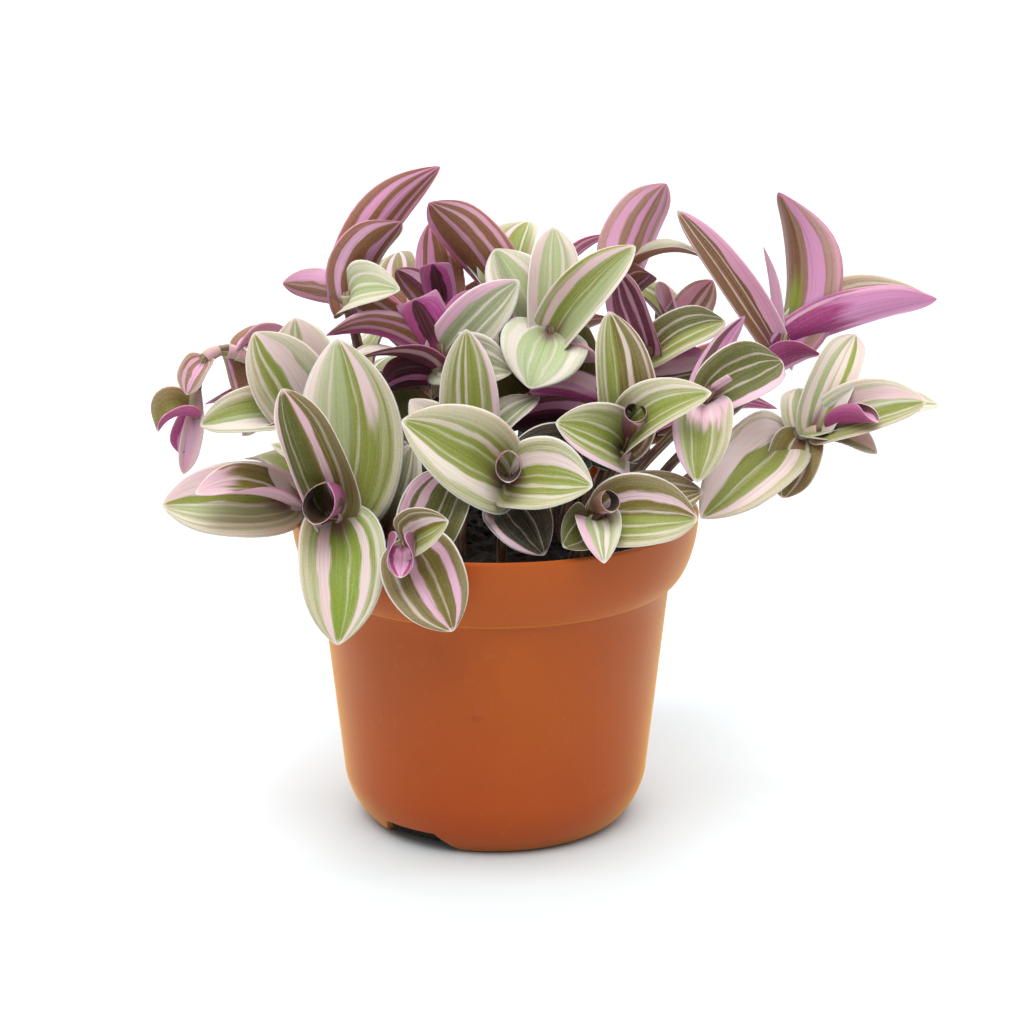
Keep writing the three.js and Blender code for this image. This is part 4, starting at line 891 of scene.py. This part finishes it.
def across_blade(width, curl, phase, u, v):
    """How far out and up each point of the blade stands from its midrib, and how far it is turned."""
    wide = half_width(width, u)[:, None]
    fold = math.radians(LEAF_FOLD)
    sweep = wide * math.radians(curl) / (width / 2)
    turn = fold + sweep * np.abs(v)
    out = wide * (np.sin(turn) - math.sin(fold)) / sweep * np.sign(v)
    rise = wide * (math.cos(fold) - np.cos(turn)) / sweep
    if curl < ROLLED_FROM:
        waves = MARGIN_WAVES * u[:, None] + WAVE_SHIFT * np.sign(v) + phase
        wave = np.sin(2 * math.pi * waves) * np.abs(v) ** WAVE_INWARD
        relief = PLEAT * np.cos(PLEATS * math.pi * v) + MARGIN_WAVE * width * wave
        rise = rise + np.sin(math.pi * u)[:, None] * relief
    return out, rise, turn


def blade_faces(columns, inner):
    """Faces of both sides and both ends. The sides share the points of the margins."""
    top = np.arange(LEAF_ROWS * columns).reshape(LEAF_ROWS, columns)
    low = top.copy()
    low[:, inner] = LEAF_ROWS * columns + np.arange(LEAF_ROWS * (columns - 2)).reshape(LEAF_ROWS, -1)
    faces = []
    for j in range(columns - 1):
        for i in range(LEAF_ROWS - 1):
            faces.append((top[i, j], top[i + 1, j], top[i + 1, j + 1], top[i, j + 1]))
            faces.append((low[i, j], low[i, j + 1], low[i + 1, j + 1], low[i + 1, j]))
        faces.append(closed_end(top[0], low[0], j, j + 1))
        faces.append(closed_end(top[-1], low[-1], j + 1, j))
    return faces


def grow_leaf(growth, base, tip, form, look, phase):
    """An arched blade, channelled or rolled across, lightly pleated, with waved margins."""
    width, arch, curl, face = form[2:6]
    bow = form[6] if len(form) > 6 else 0
    rolled = curl >= ROLLED_FROM
    columns = ROLLED_COLUMNS if rolled else LEAF_COLUMNS
    u = (1 - np.cos(math.pi * np.linspace(0, 1, LEAF_ROWS))) / 2 * LAST_ROW
    v = np.linspace(-1, 1, columns)
    out, rise, turn = across_blade(width, curl, phase, u, v)
    length = np.linalg.norm(tip - base)
    chord = unit(tip - base)
    normal = unit(np.array(face, float))
    normal = unit(normal - chord * normal.dot(chord))
    across = np.cross(normal, chord)
    arc = 4 * (u * (1 - u))[:, None]
    middle = base + chord * length * u[:, None] + (normal * arch + across * bow) * length * arc
    up = normal - chord * (arch * 4 * (1 - 2 * u))[:, None]
    up /= np.linalg.norm(up, axis=1)[:, None]
    lobe = 0 if rolled else length * BASE_LOBE * (1 - u[:, None]) ** 2 * v ** 2 * (u[:, None] > 0)
    middle = middle[:, None] - chord * np.broadcast_to(lobe, out.shape)[..., None]
    sheet = middle + across * out[..., None] + up[:, None] * rise[..., None]
    tilt = np.where(v == 0, 0, turn)
    outward = up[:, None] * np.cos(tilt)[..., None] - across * (np.sign(v) * np.sin(tilt))[..., None]
    to_tip = np.minimum(1, TIP_THINNING * (1 - u[:, None]) + TIP_THICK)
    thick = LEAF_HALF_THICK * (1 - MARGIN_THINNING * v ** 2) * to_tip
    thick = thick[..., None] * outward
    inner = slice(1, columns - 1)
    upper = sheet + thick
    upper[:, [0, -1]] = sheet[:, [0, -1]]
    under = (sheet - thick)[:, inner]
    along = np.broadcast_to(u[:, None], out.shape)
    aside = np.broadcast_to(v, out.shape)
    side = np.where(np.abs(aside) == 1, 0.5, 1.0)
    upper_blade = np.stack((along, aside, side), axis=2)
    under_blade = np.stack((along, aside, 0 * side), axis=2)[:, inner]
    points = np.concatenate((upper.reshape(-1, 3), under.reshape(-1, 3)))
    blade = np.concatenate((upper_blade.reshape(-1, 3), under_blade.reshape(-1, 3)))
    growth.add(points, blade, look, blade_faces(columns, inner), LEAF_KIND)


def closed_end(top, low, j, k):
    """A face between the upper side and the underside, which share a corner at the margins."""
    return once_each((top[j], top[k], low[k], low[j]))


def rings_along(line, radii, sides):
    """Points of rings round a line, without twist."""
    ways = np.gradient(line, axis=0)
    ways[0] = ways[1] if len(line) > 2 else ways[0]
    side = np.array((1.0, 0, 0))
    angles = 2 * math.pi * np.arange(sides) / sides
    points = []
    for place, way, radius in zip(line, ways, radii):
        way = unit(way)
        side = unit(side - way * side.dot(way))
        other = np.cross(way, side)
        ring = side * np.cos(angles)[:, None] + other * np.sin(angles)[:, None]
        points.append(place + ring * radius)
    return np.concatenate(points)


def tube_faces(rings, sides):
    faces = []
    for i in range(rings - 1):
        for k in range(sides):
            a, b = i * sides + k, i * sides + (k + 1) % sides
            faces.append((a, b, b + sides, a + sides))
    faces.append(tuple(reversed(range(sides))))
    faces.append(tuple((rings - 1) * sides + k for k in range(sides)))
    return faces


def grow_tube(growth, line, radii, sides, mark):
    """A closed tube: a stem, or the sheath that a leaf clasps it with."""
    points = rings_along(line, radii, sides)
    along = np.repeat(np.cumsum([0, *np.linalg.norm(np.diff(line, axis=0), axis=1)]), sides) / 10
    round_it = np.tile(np.arange(sides) / sides * 2 - 1, len(line))
    blade = np.stack((along, np.abs(round_it), np.full(len(points), mark)), axis=1)
    growth.add(points, blade, PLAIN_LOOK, tube_faces(len(line), sides), STEM_KIND)
    return points


def grow_hairs(growth, rim, centre, way, draws):
    """Fine pale hairs that stand on the sheath's mouth."""
    for k in range(SHEATH_HAIRS):
        foot = rim[k % len(rim)]
        out = unit(foot - centre)
        lean = unit(way + out * (0.2 + 0.5 * draws.random()) + 0.3 * (draws.random(3) - 0.5))
        side = unit(np.cross(lean, out + 0.01)) * HAIR_THICK
        other = np.cross(lean, side)
        corners = [foot + side, foot - side / 2 + other, foot - side / 2 - other,
                   foot + lean * HAIR_LENGTH * (0.6 + 0.4 * draws.random())]
        blade = np.tile((0.0, 0, HAIR_MARK), (4, 1))
        growth.add(np.array(corners), blade, PLAIN_LOOK,
                   [(0, 1, 3), (1, 2, 3), (2, 0, 3), (2, 1, 0)], STEM_KIND)


def grow_stem(growth, line, leaves, draws):
    """The stem with a swelling at each leaf, and a short sheath with hairs round each of them."""
    root = np.array((line[0][0], line[0][1], SOIL_TOP - ROOT_DEPTH))
    line = np.concatenate(([root], line))
    steps = np.linalg.norm(np.diff(line, axis=0), axis=1)
    back = np.append(np.cumsum(steps[::-1])[::-1], 0)
    swell = sum(np.exp(-((back - form[0]) / SWELL_REACH) ** 2) for form, *_ in leaves)
    grown_out = STEM_TIP_SHARE + (1 - STEM_TIP_SHARE) * np.minimum(1, back / STEM_FULL_FROM)
    radii = STEM_RADIUS * grown_out + NODE_SWELL * np.minimum(swell, 1)
    grow_tube(growth, line, radii, STEM_SIDES, STEM_MARK)
    for form, *_ in leaves:
        if form[4] >= ROLLED_FROM:
            continue
        backs = [form[0] + SHEATH_LENGTH * share for share in SHEATH_SHARES]
        sleeve = np.array([place_back(line, back) for back in backs])
        wide = STEM_RADIUS + np.array(SHEATH_FLARE)
        points = grow_tube(growth, sleeve, wide, SHEATH_SIDES, SHEATH_MARK)
        rim = points[-2 * SHEATH_SIDES:-SHEATH_SIDES]
        grow_hairs(growth, rim, sleeve[-2], unit(sleeve[-1] - sleeve[0]), draws)


def grown(name, growth, finishes):
    """The shoot's mesh, with each point's place on its blade and its leaf's look."""
    points = np.concatenate(growth.points) * MM
    data = bpy.data.meshes.new(name)
    data.from_pydata(points.tolist(), [], growth.faces)
    place = data.attributes.new("blade", "FLOAT_VECTOR", "POINT")
    place.data.foreach_set("vector", np.concatenate(growth.blade).astype(np.float32).ravel())
    look = np.concatenate(growth.look).astype(np.float32)
    for k, part in enumerate(LOOK_PARTS):
        colour = data.attributes.new(part, "FLOAT_COLOR", "POINT")
        colour.data.foreach_set("color", look[:, 4 * k:4 * k + 4].ravel())
    for finish in finishes:
        data.materials.append(finish)
    data.polygons.foreach_set("material_index", growth.kinds)
    data.update()
    data.shade_smooth()
    piece = bpy.data.objects.new(name, data)
    bpy.context.scene.collection.objects.link(piece)
    return piece


LOOK_PARTS = ("upper_left", "upper_right", "under_left", "under_right",
              "band_1", "band_2", "band_3", "band_4")


def painted(tree, name):
    """What the mesh says at each point under that name."""
    return put(tree, "Attribute", {}, attribute_name=name)


def band_over(tree, colour, band, place, reach, swelling, veins, cream, pink):
    """A band over the leaf's colour: ragged along its sides, faded where it starts, crossed by veins."""
    centre, half, pinkness = put(tree, "SeparateXYZ", {0: band.outputs["Vector"]}).outputs
    start = band.outputs["Alpha"]
    off = reckon(tree, "ABSOLUTE", reckon(tree, "SUBTRACT", place, centre))
    inside = reckon(tree, "SUBTRACT", reckon(tree, "MULTIPLY", half, swelling), off)
    shown = eased(tree, inside, -0.035, 0.03)
    after = eased(tree, reckon(tree, "SUBTRACT", reach, start), 0.14, 0.36)
    before = eased(tree, reckon(tree, "ADD", reach, start), 0.36, 0.14)
    upto = reckon(tree, "LESS_THAN", start, 0)
    gate = put(tree, "Mix", {0: upto, 2: after, 3: before}).outputs[0]
    share = reckon(tree, "MULTIPLY", shown, gate)
    share = reckon(tree, "MULTIPLY", share, eased(tree, half, 0.015, 0.11, 0.5, 1))
    share = reckon(tree, "MULTIPLY", share, eased(tree, veins, 0.34, 0.46, 0.66, 0.96))
    tint = mixed(tree, eased(tree, pinkness, 0, 1), cream, pink)
    tint = mixed(tree, eased(tree, pinkness, 1.2, 1.8), tint, DARK_BAND_AND_SHADE)
    tint = mixed(tree, eased(tree, pinkness, -0.2, -0.8), tint, BAND_GREEN)
    return mixed(tree, share, colour, tint)


def leaf_finish():
    """Satin leaf: each half's own colour, paler outward, fine veins, bands, and a pale margin."""
    material, tree, shader = new_finish("striped_leaf")
    blade = painted(tree, "blade").outputs["Vector"]
    along, aside, side = put(tree, "SeparateXYZ", {0: blade}).outputs
    is_upper = reckon(tree, "GREATER_THAN", side, 0.5)
    left = painted(tree, "upper_left")
    seed = reckon(tree, "MULTIPLY", left.outputs["Alpha"], 7.3)

    def along_blade(layer, times_along, times_aside, detail=2, roughness=0.5):
        """A cloud that runs with the blade, another one for each layer and each leaf."""
        spot = put(tree, "CombineXYZ", {
            0: reckon(tree, "MULTIPLY", along, times_along),
            1: reckon(tree, "MULTIPLY", aside, times_aside),
            2: reckon(tree, "ADD", seed, layer)}).outputs[0]
        return cloud(tree, spot, 1, detail, roughness)

    # The two halves meet in a ragged line near the midrib.
    drift = reckon(tree, "MULTIPLY_ADD", along_blade(3.7, 2.2, 1.3, 1), 0.2, -0.1)
    ragged = reckon(tree, "MULTIPLY_ADD", along_blade(9.1, 9, 26, 2), 0.07, -0.035)
    place = reckon(tree, "ADD", reckon(tree, "ADD", aside, drift), ragged)
    to_left = eased(tree, place, -0.06, 0.06)
    right = painted(tree, "upper_right")
    upper = mixed(tree, to_left, right.outputs["Color"], left.outputs["Color"])
    under = mixed(tree, to_left, painted(tree, "under_right").outputs["Color"],
                  painted(tree, "under_left").outputs["Color"])
    ground = mixed(tree, is_upper, under, upper)
    cream = mixed(tree, is_upper, UNDER_CREAM, BAND_CREAM)
    pink = mixed(tree, is_upper, UNDER_PINK, BAND_PINK)
    # A darker copy of the ground: it darkens streaks and veins, and paints shade at the base and in the
    # midrib's crease.
    dusk_and_shade = mixed(tree, 0.5, ground, DARK_BAND_AND_SHADE)

    # Each half is hazy toward its margin and tip, streaked and finely veined, and darkened at the base by
    # painted shade.
    from_midrib = reckon(tree, "ABSOLUTE", aside)
    streak = along_blade(14.3, 1.1, 9, 3, 0.55)
    outer = reckon(tree, "MULTIPLY_ADD", streak, 0.9, from_midrib)
    outer = reckon(tree, "MULTIPLY_ADD", along, 0.4, outer)
    lightness = put(tree, "RGBToBW", {0: ground}).outputs[0]
    not_dark = eased(tree, lightness, 0.08, 0.3, 0.06, 0.66)
    haze = reckon(tree, "MULTIPLY", eased(tree, outer, 0.95, 1.7), not_dark)
    ground = mixed(tree, haze, ground, cream)
    ground = mixed(tree, eased(tree, streak, 0.48, 0.26, 0, 0.36), ground, dusk_and_shade)
    veins = along_blade(21.9, 0.7, 34, 2)
    ground = mixed(tree, eased(tree, veins, 0.56, 0.7, 0, 0.16), ground, cream)
    ground = mixed(tree, eased(tree, veins, 0.44, 0.3, 0, 0.2), ground, dusk_and_shade)
    inward = reckon(tree, "MULTIPLY_ADD", from_midrib, 0.4, along)
    # Painted shade: darker toward the base, where the leaves crowd at the stem.
    colour = mixed(tree, eased(tree, inward, 0.5, 0.08, 0, 0.4), ground, dusk_and_shade)
    down = cloud(tree, put(tree, "TexCoord", {}).outputs["Object"], 1900, 2)
    colour = mixed(tree, eased(tree, down, 0.5, 0.66, 0, 0.05), colour, cream)
    colour = mixed(tree, eased(tree, down, 0.48, 0.34, 0, 0.14), colour, dusk_and_shade)

    # The bands lie over that, later ones over earlier ones.
    reach = reckon(tree, "MULTIPLY_ADD", along_blade(27.1, 2.5, 5, 1), 0.5, along)
    for k in range(BANDS):
        band = painted(tree, f"band_{k + 1}")
        swelling = reckon(tree, "MULTIPLY_ADD", along_blade(31.3 + 5 * k, 3.1, 0, 1), 1.1, 0.4)
        colour = band_over(tree, colour, band, place, reach, swelling, veins, cream, pink)

    # Last the midrib with painted shade in its crease, the pale margin and tip, the flush at the base, and
    # painted shade inside a rolled leaf.
    # Painted shade in the crease along the midrib.
    colour = mixed(tree, eased(tree, from_midrib, 0.03, 0.006, 0, 0.3), colour, dusk_and_shade)
    edge = mixed(tree, is_upper, UNDER_PINK, LEAF_EDGE)
    colour = mixed(tree, eased(tree, from_midrib, 0.945, 0.975, 0, 0.85), colour, edge)
    colour = mixed(tree, eased(tree, along, 0.95, 1, 0, 0.7), colour, edge)
    flushed = mixed(tree, is_upper, LEAF_COLOURS["magenta"], LEAF_COLOURS["plum"])
    colour = mixed(tree, eased(tree, inward, 0.34, 0.05, 0, 0.8), colour, flushed)
    # Painted shade in the hollow of a rolled leaf, on its upper side, fading out toward its tip.
    shade_in_roll = reckon(tree, "MULTIPLY", right.outputs["Alpha"], is_upper)
    shade_in_roll = reckon(tree, "MULTIPLY", shade_in_roll, eased(tree, along, 1, 0.9, 0, 0.92))
    colour = mixed(tree, shade_in_roll, colour, ROLL_SHADE)
    ribs = reckon(tree, "ADD", veins, reckon(tree, "MULTIPLY", streak, 0.6))
    feed(tree, shader, {
        "Base Color": colour,
        "Roughness": eased(tree, streak, 0.3, 0.7, 0.42, 0.56),
        "Specular IOR Level": 0.28,
        "Sheen Weight": 0.06,
        "Sheen Roughness": 0.4,
        "Subsurface Weight": 0.25,
        "Subsurface Scale": 0.0015,
        "Normal": raised(tree, ribs, 0.00035, 0.5)})
    return material


STEM_BROWN = shade(92, 58, 52)
STEM_LINE = shade(150, 140, 96)
STEM_FLECK = shade(120, 54, 80)
SHEATH_PINK = shade(196, 150, 160)
SHEATH_GREEN = shade(172, 176, 120)
HAIR_PALE = shade(232, 224, 214)


def stem_finish():
    """Purple-brown stem with paler lines; sheaths are paler and pinker, and their hairs near white."""
    material, tree, shader = new_finish("stem_and_sheath")
    blade = painted(tree, "blade").outputs["Vector"]
    mark = put(tree, "SeparateXYZ", {0: blade}).outputs[2]
    places = put(tree, "TexCoord", {}).outputs["Object"]
    lines = cloud(tree, stretched(tree, blade, 0.8, 7, 5), 1, 3)
    stem = mixed(tree, eased(tree, lines, 0.45, 0.65), STEM_BROWN, STEM_LINE)
    fleck = cloud(tree, places, 700, 3)
    stem = mixed(tree, eased(tree, fleck, 0.55, 0.7, 0, 0.5), stem, STEM_FLECK)
    sheath = mixed(tree, eased(tree, lines, 0.4, 0.6), SHEATH_PINK, SHEATH_GREEN)
    colour = mixed(tree, eased(tree, mark, STEM_MARK + 0.2, STEM_MARK + 0.6), stem, sheath)
    colour = mixed(tree, eased(tree, mark, SHEATH_MARK + 0.4, SHEATH_MARK + 0.6), colour, HAIR_PALE)
    feed(tree, shader, {
        "Base Color": colour,
        "Roughness": eased(tree, fleck, 0.3, 0.7, 0.45, 0.62),
        "Subsurface Weight": 0.15,
        "Subsurface Scale": 0.0012,
        "Normal": raised(tree, lines, 0.0003, 0.5)})
    return material


finishes = [leaf_finish(), stem_finish()]
shoots = SHOOTS + [back_shoot(number) for number in range(BACK_SHOOTS)]
missing = 0
for number, (name, root, crown, way, leaves) in enumerate(shoots):
    draws = np.random.default_rng(number)
    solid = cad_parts[f"shoot_{name}"]
    corners = np.array([vertex.co for vertex in solid.data.vertices]) / MM
    growth = Growth()
    line = stem_line(root, crown, way)
    grow_stem(growth, line, leaves, draws)
    for form, upper, under, bands in leaves:
        axis = place_back(line, form[0])
        planned = np.array(form[1], float)
        base = axis + unit(planned - axis) * LEAF_SINK
        tip = solid_tip(corners, base, planned)
        seed = draws.random()
        if tip is None:
            missing += 1
            continue
        look = leaf_look(upper, under, bands, seed, form[4] > DARK_ROLL_FROM)
        grow_leaf(growth, base, tip, form, look, seed)
    shoot = grown(f"{name}_leaves", growth, finishes)
    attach(shoot, "root")
    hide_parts(f"shoot_{name}")
print("leaves that the solids leave out:", missing)

# Dry leaf: one small brown withered leaf, rolled up as it dried. It stands in the soil and leans on
# the pot's lip, in the gap at the right.
DRY_ROOT = np.array((53.0, -14.0, 83.0))
DRY_TIP = np.array((57.0, -15.5, 107.0))
DRY_FORM = (0, DRY_TIP, 7, 0.12, 110, (-0.7, -0.7, 0.1))
DRY_BROWN = shade(104, 70, 42)
DRY_PALE = shade(176, 136, 92)


def dry_finish():
    """Brown papery leaf with darker fibres."""
    material, tree, shader = new_finish("withered_leaf")
    blade = painted(tree, "blade").outputs["Vector"]
    fibres = cloud(tree, stretched(tree, blade, 3, 14, 1), 1, 4)
    colour = mixed(tree, eased(tree, fibres, 0.35, 0.65), DRY_BROWN, DRY_PALE)
    feed(tree, shader, {"Base Color": colour, "Roughness": 0.8,
                        "Normal": raised(tree, fibres, 0.0004, 0.8)})
    return material


growth = Growth()
grow_leaf(growth, DRY_ROOT, DRY_TIP, DRY_FORM, PLAIN_LOOK, 0.4)
dry_leaf = grown("dry_leaf", growth, [dry_finish()])
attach(dry_leaf, "root")

FLOOR_SIZE = 14
FLOOR_PLACE = (0, 3, 0)
FLOOR_TINTS = (shade(206, 213, 214), shade(209, 216, 217))
SURROUND = 0.39
SOFT_LIGHTS = [
    ("soft_top", 3.1, 50, 24, -6),
    ("soft_left", 2.55, 85, -62, 34),
    ("soft_right", 2.55, 85, -62, -34),
]
CAMERA_PLACE = (0.005, -0.7718, 0.3029)
CAMERA_PITCH = 74.75
CAMERA_LENS = 95.4
CAMERA_SENSOR = 36
CAMERA_SEES_TO = 30

bpy.ops.mesh.primitive_plane_add(size=FLOOR_SIZE, location=FLOOR_PLACE)
floor = bpy.context.object
floor.name = "floor"
material, tree, shader = new_finish("pale_floor")
speck = cloud(tree, put(tree, "TexCoord", {}).outputs["Object"], 40, 2)
feed(tree, shader, {"Base Color": mixed(tree, speck, *FLOOR_TINTS), "Roughness": 0.9,
                    "Specular IOR Level": 0.1})
floor.data.materials.append(material)

world = bpy.data.worlds.new("surround")
bpy.context.scene.world = world
world.use_nodes = True
surround = world.node_tree.nodes["Background"]
surround.inputs[0].default_value = (1, 1, 1, 1)
surround.inputs[1].default_value = SURROUND

for name, strength, spread, pitch, heading in SOFT_LIGHTS:
    light = bpy.data.lights.new(name, "SUN")
    light.energy = strength
    light.angle = math.radians(spread)
    lamp = bpy.data.objects.new(name, light)
    lamp.rotation_euler = (math.radians(pitch), 0, math.radians(heading))
    bpy.context.scene.collection.objects.link(lamp)

lens = bpy.data.cameras.new("camera")
lens.lens = CAMERA_LENS
lens.sensor_width = CAMERA_SENSOR
lens.clip_end = CAMERA_SEES_TO
camera = bpy.data.objects.new("camera", lens)
camera.location = CAMERA_PLACE
camera.rotation_euler = (math.radians(CAMERA_PITCH), 0, 0)
bpy.context.scene.collection.objects.link(camera)
bpy.context.scene.camera = camera
bpy.context.scene.view_settings.view_transform = "Standard"
